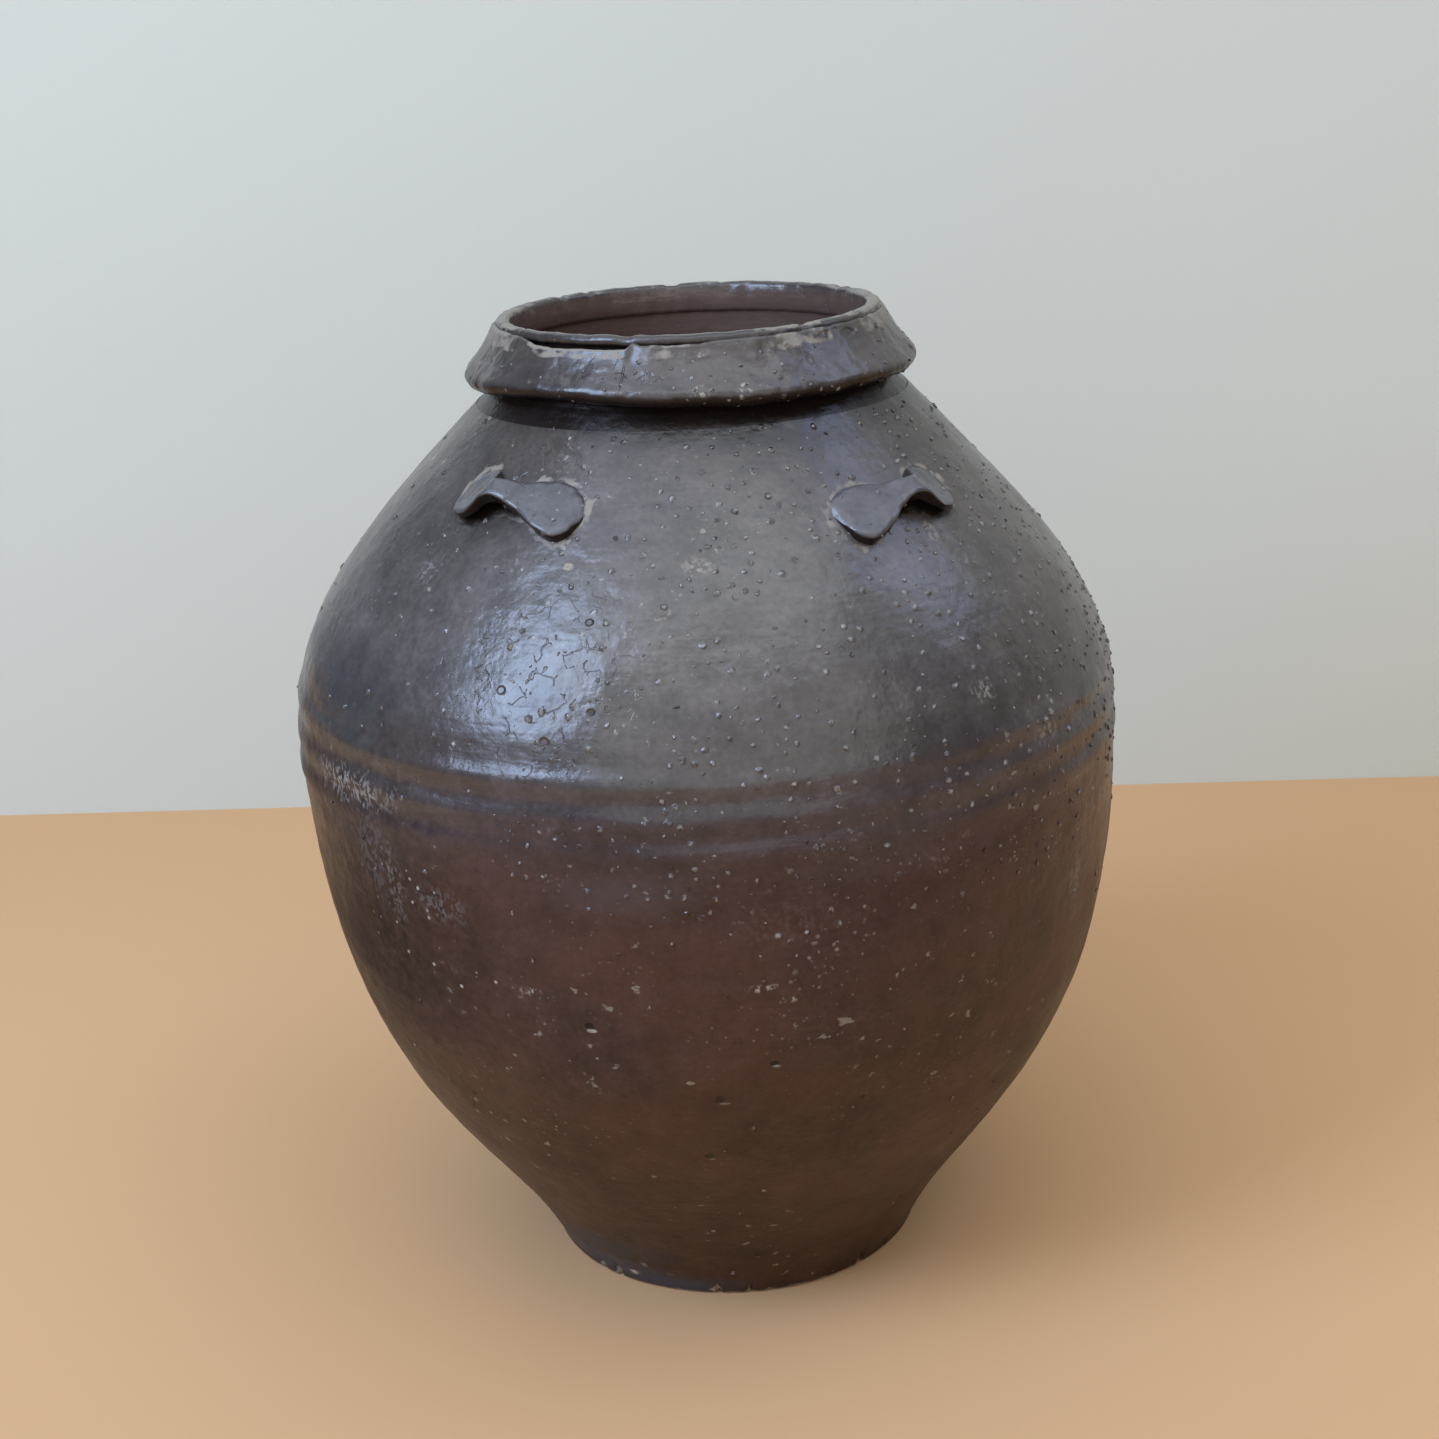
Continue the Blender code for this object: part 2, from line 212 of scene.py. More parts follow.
def thrown_wall():
    """The tree of one length of wall: its arcs turned round, and made uneven by hand."""
    tree = bpy.data.node_groups.new("thrown wall", "GeometryNodeTree")
    node = partial(add, tree)
    inputs = {"From": 0.0, "To": 1.0, "Wall": WALL, "Around": 576, "Rows": 78, "Inner rows": 9,
              "Ridge foot": BELLY_HEIGHT - 0.0085, "Ridge pitch": 0.0115, "Ridge count": 3.0,
              "Ridge height": 0.0008, "Floor": FLOOR, "Calm over floor": 0.030,
              "Merge within": 0.00002, "Arc steps": 200}
    for arc, points in (("Lower", LOWER_ARC), ("Upper", UPPER_ARC)):
        for k, (radius, level) in enumerate(points):
            inputs[f"{arc} {k}"] = (radius, 0.0, level)
    given = tree_inputs(tree, inputs | {"Glaze": bpy.types.Material})
    arcs = [node("GeometryNodeCurvePrimitiveBezierSegment", given["Arc steps"],
                 *(given[f"{arc} {k}"] for k in range(4)), mode="POSITION")
            for arc in ("Lower", "Upper")]

    # A flat sheet, its X wound round the axis, its Y up the outside and down the inside
    rows = node("Math ADD", given["Rows"], given["Inner rows"])
    sheet = node("GeometryNodeMeshGrid", 1.0, 1.0, node("Math ADD", given["Around"], 1.0),
                 node("Math ADD", rows, 1.0))
    here = node("SeparateXYZ", node("GeometryNodeInputPosition"))
    angle = node("Math MULTIPLY", here.outputs["X"], math.tau)
    row = node("Math ADD", here.outputs["Y"], 0.5)
    row = node("Math MULTIPLY", row, rows)
    row = node("Math ROUND", row)
    last_outer = node("Math SUBTRACT", given["Rows"], 1.0)
    last_inner = node("Math SUBTRACT", given["Inner rows"], 1.0)
    past = node("Math SUBTRACT", row, given["Rows"])
    rise = node("Math DIVIDE", row, last_outer, use_clamp=True)
    fall = node("Math DIVIDE", past, last_inner, use_clamp=True)
    inside = node("Math GREATER_THAN", past, -0.5)
    closing = node("Math GREATER_THAN", row, node("Math SUBTRACT", rows, 0.5))
    inside = node("Math SUBTRACT", inside, closing)
    way = node("Mix", {"Factor": node("Math SUBTRACT", rise, fall), "A": given["From"],
                       "B": given["To"]})
    beyond = node("Math SUBTRACT", way, 1.0)
    sides = [node("GeometryNodeSampleCurve", {"Curves": arc, "Factor": share}, mode="FACTOR")
             for arc, share in zip(arcs, (way, beyond))]
    place, ahead = (node("GeometryNodeSwitch", node("Math GREATER_THAN", beyond, 0.0),
                         {"False": sides[0].outputs[k], "True": sides[1].outputs[k]},
                         input_type="VECTOR") for k in ("Position", "Tangent"))
    square = node("VectorRotate", {"Vector": ahead, "Angle": math.radians(90)},
                  rotation_type="Y_AXIS")
    spot, normal = (node("VectorRotate", {"Vector": way_out, "Angle": angle},
                         rotation_type="Z_AXIS") for way_out in (place, square))
    level = node("SeparateXYZ", place).outputs["Z"]

    # The ridges, then the unevenness of hand throwing, from broad swells to wheel lines
    turns = node("Math DIVIDE", node("Math SUBTRACT", level, given["Ridge foot"]), given["Ridge pitch"])
    wave = node("Math SINE", node("Math MULTIPLY", turns, math.pi))
    wave = node("Math MULTIPLY", wave, wave)
    for limit, test in ((0.0, "GREATER_THAN"), (given["Ridge count"], "LESS_THAN")):
        in_band = node("Math", turns, limit, operation=test)
        wave = node("Math MULTIPLY", wave, in_band)
    along_ridge = node("TexNoise", {"Vector": spot, "Scale": 16.0, "Detail": 1.0})
    pressed = node("MapRange", along_ridge, 0.35, 0.65, 0.45, 1.35)
    wave = node("Math MULTIPLY", wave, pressed)
    height = node("Math MULTIPLY", wave, given["Ridge height"])
    for across, up, amount in SWELLS:
        spread = node("VectorMath MULTIPLY", spot, (1 / across, 1 / across, 1 / up))
        cloud = node("TexNoise", {"Vector": spread, "Scale": 1.0, "Detail": 2.0})
        swell = node("Math SUBTRACT", cloud, 0.5)
        height = node("Math MULTIPLY_ADD", swell, amount, height)
    calm_level = node("Math ADD", given["Floor"], given["Calm over floor"])
    calm = node("MapRange", level, given["Floor"], calm_level, interpolation_type="SMOOTHSTEP")
    height = node("Math MULTIPLY", height, calm)
    sunk = node("Math MULTIPLY", inside, given["Wall"])
    height = node("Math SUBTRACT", height, sunk)
    shift = OFF_TRUE[0][1]
    for (below, was), (above, now) in zip(OFF_TRUE, OFF_TRUE[1:]):
        step = node("MapRange", level, below, above, 0.0, now - was)
        shift = node("Math ADD", shift, step)
    out = node("VectorMath SCALE", normal, {"Scale": height})
    moved = node("VectorMath ADD", spot, out)
    moved = node("VectorMath ADD", moved, node("CombineXYZ", shift))
    marked = node("GeometryNodeStoreNamedAttribute",
                  {"Geometry": sheet, "Name": "inside", "Value": inside}, data_type="FLOAT")
    shaped = node("GeometryNodeSetPosition", {"Geometry": marked, "Position": moved})
    closed = node("GeometryNodeMergeByDistance",
                  {"Geometry": shaped, "Distance": given["Merge within"]})
    whole = node("GeometryNodeRealizeInstances", closed)
    done = node("GeometryNodeSetMaterial", {"Geometry": whole, "Material": given["Glaze"]})
    node("NodeGroupOutput", done)
    return tree


def boiled_glaze():
    """The tree that covers a fired surface with blebs, some of them burst to a crater."""
    tree = bpy.data.node_groups.new("boiled glaze", "GeometryNodeTree")
    node = partial(add, tree)
    given = tree_inputs(tree, {"Clay": bpy.types.Mesh, "Bleb gap": 0.0030, "Per area": 60000.0,
                               "Smallest": 0.0005, "Largest": 0.0014, "Share burst": 0.08,
                               "Seed": 4, "Glaze": bpy.types.Material})

    # Thick on some sides and thin elsewhere, only on outward faces, and from the belly up
    spot = node("GeometryNodeInputPosition")
    level = node("SeparateXYZ", spot).outputs["Z"]
    around = node("VectorMath MULTIPLY", spot, (1, 1, 0))
    around = node("VectorMath NORMALIZE", around)
    share = BLEBS_ANYWHERE
    for azimuth, start, full, amount in BLEB_SIDES:
        heading = (math.sin(math.radians(azimuth)), -math.cos(math.radians(azimuth)), 0)
        toward = node("VectorMath DOT_PRODUCT", around, heading)
        lobe = node("MapRange", toward.outputs["Value"], start, full, 0.0, amount,
                    interpolation_type="SMOOTHSTEP")
        share = node("Math ADD", share, lobe)
    outward = node("VectorMath DOT_PRODUCT", around, node("GeometryNodeInputNormal"))
    clump = node("TexNoise", {"Vector": spot, "Scale": 38.0})
    for value, low, high, floor in ((level, 0.148, 0.212, 0.05), (clump, 0.40, 0.58, 0.35),
                                    (outward.outputs["Value"], 0.05, 0.25, 0.0)):
        limit = node("MapRange", value, low, high, floor, 1.0, interpolation_type="SMOOTHSTEP")
        share = node("Math MULTIPLY", share, limit)
    seeds = node("GeometryNodeDistributePointsOnFaces",
                 {"Mesh": given["Clay"], "Distance Min": given["Bleb gap"],
                  "Density Max": given["Per area"], "Density Factor": share,
                  "Seed": given["Seed"]}, distribute_method="POISSON")

    # A low dome, and the same dome with its top fallen in
    ball = node("GeometryNodeMeshUVSphere", 8, 6, 1.0)
    spot = node("GeometryNodeInputPosition")
    from_axis = node("VectorMath MULTIPLY", spot, (1, 1, 0))
    from_axis = node("VectorMath LENGTH", from_axis).outputs["Value"]
    fallen = node("MapRange", from_axis, 0.80, 0.20, 0.0, 1.0)
    height = node("SeparateXYZ", spot).outputs["Z"]
    upper = node("Math GREATER_THAN", height, 0.0)
    fallen = node("Math MULTIPLY", fallen, upper)
    bell = node("Math POWER", height, 3.0)
    bell = node("Math SUBTRACT", bell, height)
    crest = node("MapRange", height, 0.30, 0.75)
    kinds = []
    for depth in (0.0, 1.1):
        dip = node("Math MULTIPLY_ADD", fallen, -depth, bell)
        shape = node("GeometryNodeSetPosition",
                     {"Geometry": ball, "Offset": node("CombineXYZ", {"Z": dip})})
        # Its fallen-in top is painted dark: pooled glaze and painted shade in the crater
        burst = node("Math MULTIPLY", fallen, min(depth, 1.0))
        for name, share in (("pooled", burst), ("ashen", crest)):
            shape = node("GeometryNodeStoreNamedAttribute",
                         {"Geometry": shape, "Name": name, "Value": share}, data_type="FLOAT")
        shape = node("GeometryNodeTransform", {"Geometry": shape, "Scale": (1.1, 1.1, 0.50),
                                               "Translation": (0, 0, -0.04)})
        kinds.append(node("GeometryNodeGeometryToInstance", shape))
    kit = node("GeometryNodeJoinGeometry")
    for kind in reversed(kinds):
        tree.links.new(kind.outputs[0], kit.inputs[0])
    luck = node("FunctionNodeRandomValue", {"Seed": given["Seed"]}, data_type="FLOAT")
    small = node("Math POWER", luck.outputs["Value"], 1.7)
    size = node("MapRange", small, 0.0, 1.0, given["Smallest"], given["Largest"])
    choice = node("FunctionNodeRandomValue", {"Seed": node("Math ADD", given["Seed"], 7.0)},
                  data_type="FLOAT")
    choice = node("Math LESS_THAN", choice, given["Share burst"])
    blebs = node("GeometryNodeInstanceOnPoints",
                 {"Points": seeds.outputs["Points"], "Instance": kit, "Pick Instance": True,
                  "Instance Index": choice, "Rotation": seeds.outputs["Rotation"],
                  "Scale": size})
    blebs = node("GeometryNodeRealizeInstances", blebs)
    lumps = node("TexNoise", {"Scale": 620.0, "Detail": 2.0})
    lumps = node("VectorMath SUBTRACT", lumps.outputs["Color"], (0.5, 0.5, 0.5))
    lumps = node("VectorMath SCALE", lumps, {"Scale": 0.0016})
    blebs = node("GeometryNodeSetPosition", {"Geometry": blebs, "Offset": lumps})
    both = node("GeometryNodeJoinGeometry")
    for part in (blebs.outputs[0], given["Clay"]):
        tree.links.new(part, both.inputs[0])
    whole = node("GeometryNodeRealizeInstances", both)
    done = node("GeometryNodeSetMaterial", {"Geometry": whole, "Material": given["Glaze"]})
    node("NodeGroupOutput", done)
    return tree


def hue(code):
    """A colour written as an sRGB hex code, as linear red, green, blue and alpha."""
    parts = [int(code[i:i + 2], 16) / 255 for i in (0, 2, 4)]
    return (*(p / 12.92 if p <= 0.04045 else ((p + 0.055) / 1.055) ** 2.4 for p in parts), 1.0)


# Grain of each cloud of the glaze in metres, its detail, and how much flatter than wide it is
GLAZE_CLOUDS = {"drift": (0.080, 3.0, 2.0), "bloom": (0.060, 4.0, 1.6), "patch": (0.011, 4.0, 1.0),
                "flake": (0.0045, 5.0, 1.2), "melt": (0.0020, 2.0, 1.0), "skin": (0.0050, 3.0, 1.0),
                "wheel": (0.030, 2.0, 8.0), "sheen": (0.018, 3.0, 1.0), "ashfall": (0.026, 4.0, 1.0),
                "region": (0.070, 1.0, 1.0), "break": (0.0050, 2.0, 1.0), "bend": (0.006, 1.0, 1.0),
                "speck": (0.0016, 4.0, 0.7)}
ASH = "95938e"
BARE_CLAY = "7f776b"
# Dark of the cracks, and of pooled glaze and painted shade
CRACK_POOL_SHADE_DARK = "1a120f"
LINING = "5b4a42"

# How each kind of mark thins out: how ragged its edge is, where in its oval it is full and
# where it ends, and how far it breaks up. Ash and bare clay break up in patches and dust in
# dots, a pit is sunk, a zone only changes the colour, a dull one hardly shines and its dark
# colour is a painted dark reflection, and a crackle one says where most of the cracks are.
MARK_KINDS = {"ash": (0.8, 0.35, 1.20, 1.0), "bare": (0.9, 0.60, 1.10, 0.35),
              "dust": (0.8, 0.10, 1.10, 1.0), "pit": (0.3, 0.55, 1.00, 0.0),
              "zone": (0.5, 0.20, 1.35, 0.0), "shaded_dull": (0.5, 0.30, 1.25, 0.0),
              "crackle": (0.5, 0.60, 1.30, 0.0)}


def iron_glaze(name, stops, marks=(), redness=0.42, crazed=None):
    """Iron-brown stoneware glaze, fired glossy and weathered to satin.

    Its stops are (level, colour) up the jar, and its marks (kind, place, turn, reach, colour,
    strength). Crazed is the mark that its crackle keeps to. Four attributes say how far the
    clay shows (worn), the thin lining (inside), glaze pooled thick and black together with
    painted shade in hollows, under overhangs and on faces turned from the light, and ash on
    the blebs (ashen).
    """
    material = bpy.data.materials.new(name)
    material.use_nodes = True
    tree = material.node_tree
    node = partial(add, tree)
    shader = tree.nodes["Principled BSDF"]
    place = node("TexCoord").outputs["Object"]
    cloud = {}
    for kind, (grain, detail, flat) in GLAZE_CLOUDS.items():
        spread = node("VectorMath MULTIPLY_ADD", place, (1 / grain, 1 / grain, flat / grain),
                      (grain * 1000, detail, flat))
        cloud[kind] = node("TexNoise", {"Vector": spread, "Scale": 1.0, "Detail": detail})

    # Ash greys the shoulder, and the bare iron shows redder and darker lower down. On the wall
    # both tones are also painted reflection, of a bright room above and a warm floor below
    level = node("SeparateXYZ", place).outputs["Z"]
    drift = node("MapRange", cloud["drift"], 0.25, 0.75, -0.012, 0.012)
    level = node("Math ADD", level, drift)
    colour = node("ValToRGB", node("Math DIVIDE", level, RIM_LEVEL))
    ramp = colour.color_ramp
    while len(ramp.elements) < len(stops):
        ramp.elements.new(0.5)
    for element, (height, code) in zip(ramp.elements, stops):
        element.position = height / RIM_LEVEL
        element.color = hue(code)

    # Mottle, from hand-wide blooms to the grain of the melt
    for kind, amount in (("bloom", 0.18), ("patch", 0.26), ("melt", 0.18)):
        tone = node("MapRange", cloud[kind], 0.30, 0.70, 1 - amount, 1 + amount)
        colour = node("VectorMath SCALE", colour, {"Scale": tone})

    # Redder on the belly where the glaze ran thin, then specks of ash, and flakes of it
    coats = []
    specks = node("TexVoronoi", {"Vector": place, "Scale": 330.0})
    for value, low, high, where, code, amount in (
            (cloud["bloom"], 0.44, 0.62, (level, 0.215, 0.165), "482b22", redness),
            (specks.outputs["Distance"], 0.20, 0.11, (cloud["ashfall"], 0.52, 0.66), ASH, 0.24),
            (cloud["flake"], 0.660, 0.700, (cloud["region"], 0.50, 0.60), "8f8b82", 0.55)):
        share = node("MapRange", value, low, high, 0.0, amount)
        share = node("Math MULTIPLY", share, node("MapRange", *where))
        coats.append((share, code))

    def within(mark):
        """The share that a mark has here: an oval with a ragged edge, thinned as its kind is."""
        kind, centre, turn, reach, _, strength = mark
        edge, full, gone, _ = MARK_KINDS[kind]
        near = node("Mapping", {"Vector": place, "Location": centre, "Rotation": turn,
                                "Scale": reach}, vector_type="TEXTURE")
        far = node("VectorMath LENGTH", near).outputs["Value"]
        far = node("Math MULTIPLY_ADD", ragged, edge * 2, far)
        return node("MapRange", far, gone, full, 0.0, strength)

    # Crackle: short wandering cracks a third of a millimetre wide, most of them in one patch
    ragged = node("Math SUBTRACT", cloud["flake"], 0.5)
    bent = node("VectorMath MULTIPLY_ADD", cloud["bend"].outputs["Color"], (0.005, 0.005, 0.005),
                place)
    cells = node("TexVoronoi", {"Vector": bent, "Scale": 150.0}, feature="DISTANCE_TO_EDGE")
    cracks = node("MapRange", cells, 0.036, 0.014)
    cracks = node("Math MULTIPLY", cracks, node("MapRange", cloud["break"], 0.53, 0.58))
    patch = node("MapRange", cloud["region"], 0.60, 0.70, 0.0, 0.4)
    if crazed:
        patch = node("Math MAXIMUM", patch, within(crazed))
    cracks = node("Math MULTIPLY", cracks, patch)
    coats.append((node("Math MULTIPLY", cracks, 0.6), CRACK_POOL_SHADE_DARK))

    # Marks of the fire and of handling
    specked = node("MapRange", cloud["speck"], 0.49, 0.57)
    chosen = node("SeparateXYZ", specks.outputs["Color"])
    dotted = node("Math SUBTRACT", node("MapRange", chosen, 0.62, 0.92, 0.0, 0.28),
                  specks.outputs["Distance"])
    dotted = node("MapRange", dotted, 0.0, 0.08)
    sunk = cracks
    shaded_dull = None
    for mark in marks:
        kind, *_, code, _ = mark
        *_, broken = MARK_KINDS[kind]
        share = within(mark)
        if broken:
            gaps = node("MapRange", dotted if kind == "dust" else specked, 0.0, 1.0, 1 - broken, 1.0)
            share = node("Math MULTIPLY", share, gaps)
        if kind == "shaded_dull":
            shaded_dull = node("Math MAXIMUM", share, shaded_dull or 0.0)
        if kind == "pit":
            sunk = node("Math MULTIPLY_ADD", share, 3.0, sunk)
        coats.append((share, code))

    # What the pieces' own attributes say, over all that, and then every coat in its order
    worn, ashen, inside, pooled = (node("Attribute", attribute_name=stored).outputs["Fac"]
                                   for stored in ("worn", "ashen", "inside", "pooled"))
    frayed = node("Math MULTIPLY_ADD", ragged, 1.8, worn)
    worn = node("MapRange", frayed, 0.38, 0.68, 0.0, 0.92)
    ashen = node("Math MULTIPLY", node("MapRange", cloud["melt"], 0.46, 0.58, 0.0, 0.60), ashen)
    coats += (ashen, ASH), (worn, BARE_CLAY), (inside, LINING), (pooled, CRACK_POOL_SHADE_DARK)
    for share, code in coats:
        colour = node("Mix", {"Factor": share, "A": colour, "B": hue(code)}, data_type="RGBA")
    tree.links.new(colour.outputs[2], shader.inputs["Base Color"])

    # Satin, rougher below the belly and where the clay is bare
    rough = node("MapRange", cloud["sheen"], 0.30, 0.70, 0.22, 0.34)
    rough = node("Math ADD", rough, node("MapRange", level, 0.185, 0.140, 0.0, 0.16))
    rough = node("Math MULTIPLY_ADD", worn, 0.30, rough)
    tree.links.new(rough.outputs[0], shader.inputs["Roughness"])
    shader.inputs["IOR"].default_value = 1.60

    # Dust dulls the jar from the belly down, and pooled glaze, painted shade and the dull marks
    # hardly shine
    shine = node("MapRange", level, 0.232, 0.150, 0.50, 0.22)
    shine = node("Math MULTIPLY", shine, node("MapRange", pooled, 0.0, 1.0, 1.0, 0.25))
    if shaded_dull:
        shine = node("Math MULTIPLY", shine, node("MapRange", shaded_dull, 0.0, 1.0, 1.0, 0.1))
    tree.links.new(shine.outputs[0], shader.inputs["Specular IOR Level"])

    # Relief in the melt: pinholed skin, wheel lines, and the cracks and pits sunk into it
    bump = None
    for height, depth in ((cloud["melt"], 0.00004), (cloud["skin"], 0.00032),
                          (cloud["wheel"], 0.00022), (sunk, -0.00022)):
        bump = node("Bump", {"Height": height, "Distance": abs(depth)}
                    | ({"Normal": bump} if bump else {}), invert=depth < 0)
    tree.links.new(bump.outputs[0], shader.inputs["Normal"])
    return material


# Each lug's azimuth and share of the shoulder's height, which way its near lobe points, how far
# it sags down the slope, and how far its tip was pushed along, in mm
LUG_PLACES = {"lug_front_left": (-35.8, 0.790, 1, 0.0, 1.0),
              "lug_front_right": (38.2, 0.762, -1, -3.4, -3.2),
              "lug_back_left": (-143.0, 0.780, -1, -1.0, 0.0),
              "lug_back_right": (143.0, 0.780, 1, -1.0, -1.5)}
# Colours up the wall. The grey shoulder and the dark red-brown below the belly are partly painted
# reflection, of a bright room above and a warm floor below, and the last two stops, darker towards the
# neck, are painted shade under the collar.
WALL_COLOURS = ((0.004, "3a2519"), (0.080, "3e2c22"), (0.150, "3f2f2a"), (0.184, "392625"),
                (0.206, "3a3134"), (0.235, "484442"), (0.275, "4c4845"), (0.300, "484340"),
                (0.312, "3f3936"), (0.320, "1f1a18"))

# Marks on the wall: kind, azimuth, level, half length and half height in mm, colour, strength.
# The dull marks and the dark zone at -58 degrees paint the sides of the jar darker, a painted
# dark reflection, and the pale zone at -12 degrees under the ridges is a painted highlight.
WALL_MARKS = (("shaded_dull", -62, 160, 84, 52, "1f1617", 0.85), ("shaded_dull", -74, 204, 92, 25, "1f1d22", 0.90),
              ("shaded_dull", 86, 204, 70, 24, "2c2322", 0.70), ("zone", -58, 240, 40, 17, "1f2229", 0.60),
              ("zone", -38, 226, 28, 14, "301f1e", 0.60), ("ash", -50, 190, 10, 20, "6e7078", 0.25),
              ("zone", 22, 266, 16, 26, "35312f", 0.45), ("zone", 33, 226, 30, 13, "2a2020", 0.55),
              ("zone", 60, 232, 24, 22, "2a2322", 0.40), ("zone", -44, 18, 34, 8, "36363d", 0.70),
              ("zone", -12, 190, 24, 8, "4a4144", 0.5), ("ash", 38.3, 239, 5, 4, "a3a09b", 0.55),
              ("ash", 43.7, 284.7, 2.5, 4, "a39c8c", 0.5), ("ash", -54, 211, 28, 6, "a0a3a2", 0.50),
              ("ash", -46, 180, 5, 14, "9a9c9b", 0.22), ("ash", -38, 178, 12, 7, "8c8f92", 0.22),
              ("dust", -44, 172, 26, 30, "b4b2ac", 0.75), ("dust", -36, 152, 26, 10, "b4b2ac", 0.75),
              ("ash", 5, 156, 6, 1.5, "a8a49a", 0.7), ("ash", 8, 151, 3.4, 1.2, "a8a49a", 0.6),
              ("ash", -26, 153, 4.4, 1.6, "a8a49a", 0.7), ("ash", 49, 220, 7, 4, "9a9894", 0.35),
              ("ash", 57, 160, 5, 10, "9a9894", 0.30), ("ash", 0, 284.3, 6, 3.4, "a39a8c", 0.40),
              ("ash", -49, 279, 6, 6, "9fa1a0", 0.28), ("ash", 8, 178, 24, 8, "8b8a87", 0.07),
              ("dust", 14, 166, 34, 16, "a8a49c", 0.35), ("bare", -21.4, 284.4, 2, 1.6, "a59a80", 0.7),
              ("pit", -17.9, 142, 1.8, 1.5, "100c0a", 0.9),
              ("bare", -17.7, 140.5, 1.9, 0.8, "a39c90", 0.9), ("pit", 5.9, 127, 1.8, 1.2, "100c0a", 0.8),
              ("bare", 6.2, 125.9, 1.5, 0.6, "8d8779", 0.8),
              ("pit", -1.6, 113.5, 1.9, 2.0, "1c1512", 0.7),
              ("bare", -1.1, 111.6, 1.9, 0.5, "7f7b6f", 0.8),
              ("pit", -3.9, 87.4, 1.6, 1.6, "1c1512", 0.8), ("bare", -3.5, 85.9, 1.5, 0.5, "7f7b6f", 0.8),
              ("bare", -5.4, 121, 1.4, 0.7, "938d80", 0.8), ("bare", -13.6, 75, 1.2, 0.9, "7d776f", 0.7),
              ("pit", -27.6, 250.8, 1.8, 1.6, "14100e", 0.8),
              ("pit", -20.6, 237.3, 2.2, 1.8, "3a2014", 0.8),
              ("pit", -16.2, 270.3, 1.6, 1.4, "14100e", 0.8),
              ("pit", -14.6, 246.3, 1.6, 1.4, "14100e", 0.8))
MILLIMETRE = 0.001

# Along a lug's strap from the far lobe's end to the near lobe's: place, top edge and lower edge
# up the slope, height of each edge's underside over the wall, and thickness, in millimetres.
# Below, how far from a lug's middle a place is still near it, along it and up the slope.
LUG_STATIONS = ((-28.5, 5.0, 2.2, -1.6, -1.4, 0.6), (-27.2, 8.8, -1.8, -1.8, 0.2, 1.6),
                (-24.0, 11.8, -5.2, -2.2, 1.3, 2.4), (-19.5, 12.9, -6.6, -2.4, 2.2, 3.0),
                (-15.5, 12.0, -6.4, -1.7, 3.2, 3.6), (-12.0, 9.4, -4.6, 0.5, 4.3, 4.3),
                (-9.0, 7.2, -2.2, 2.9, 5.1, 4.9), (-5.5, 6.4, -1.0, 3.5, 4.7, 5.4),
                (-1.5, 7.2, -1.6, 0.7, 2.7, 6.2), (2.0, 8.8, -3.0, -3.2, 0.8, 7.0),
                (7.0, 10.6, -6.0, -4.9, -0.2, 7.6), (12.0, 11.2, -9.4, -5.2, -0.6, 7.6),
                (16.8, 10.2, -11.2, -5.0, -1.0, 6.8), (20.8, 7.6, -8.8, -4.0, -1.4, 5.4),
                (23.2, 5.0, -4.2, -2.8, -1.6, 3.0), (24.2, 2.8, -0.8, -2.0, -1.6, 1.2))
STRAP_PLACES, STRAP_TOPS, STRAP_BOTTOMS, *_ = zip(*LUG_STATIONS)
NEAR_ALONG = 40
NEAR_UP = 25


def paint(mesh, name, share_of):
    """Store a share for each point, from its azimuth in degrees, radius, level and normal."""
    shares = mesh.attributes.new(name, "FLOAT", "POINT")
    shares.data.foreach_set("value", [
        share_of(math.degrees(math.atan2(v.co.x, -v.co.y)), math.hypot(*v.co.xy), v.co.z, v.normal)
        for v in mesh.vertices])


def ease(value, low, high):
    """0 below low, 1 above high, and a smooth rise between."""
    share = min(1.0, max(0.0, (value - low) / (high - low)))
    return share * share * (3 - 2 * share)


def window(value, start, full, fading, end, amount=1.0):
    """0 outside a range and that amount in the middle of it, with a smooth rise and fall."""
    return amount * ease(value, start, full) * (1 - ease(value, fading, end))


def wrapped(degrees):
    """The same angle, from -180 to 180 degrees."""
    return (degrees + 180) % 360 - 180


def from_strap(azimuth, level):
    """How far a place on the wall is outside the nearest strap, along it, above and below it."""
    for lug_azimuth, share, hand, drop, _ in LUG_PLACES.values():
        middle = BELLY_HEIGHT + SHOULDER_HEIGHT * share
        radius, (out, _) = wall_frame(middle)
        along = hand * math.radians(wrapped(azimuth - lug_azimuth)) * radius / MILLIMETRE
        slope = (level - middle) / out / MILLIMETRE - drop
        if abs(along) < NEAR_ALONG and abs(slope) < NEAR_UP:
            top = float(np.interp(along, STRAP_PLACES, STRAP_TOPS))
            bottom = float(np.interp(along, STRAP_PLACES, STRAP_BOTTOMS))
            past_end = max(along - STRAP_PLACES[-1], STRAP_PLACES[0] - along)
            return max(slope - top, bottom - slope, past_end), along, slope - top, bottom - slope
    return None


def squeezed_slip(azimuth, radius, level, normal):
    """Slip squeezed out round the lugs when they were pressed on, left bare."""
    found = from_strap(azimuth, level)
    return 0.0 if found is None else 0.68 * (1 - ease(abs(found[0] - 0.8), 0.2, 2.6))


def painted_shade_under_arch(azimuth, radius, level, normal):
    """Painted shade under the arch and under the lifted edge, with glaze pooled black there too."""
    found = from_strap(azimuth, level)
    if found is None:
        return 0.0
    _, along, above, below = found
    return (window(along, -28, -25, -1, 3, 0.95) * (1 - ease(below, 1.2, 2.8))
            * (1 - ease(above, -1.5, 0.0)))


def oval(kind, azimuth, level, half_length, half_height, code, strength):
    """A mark's place, turn and reach on the wall, for the glaze."""
    turned_by = math.radians(azimuth)
    level *= MILLIMETRE
    return (kind, on_wall(turned_by, level), wall_axes(turned_by, level).to_euler(),
            (half_length * MILLIMETRE, half_height * MILLIMETRE,
             max(12, 0.45 * half_length) * MILLIMETRE), code, strength)


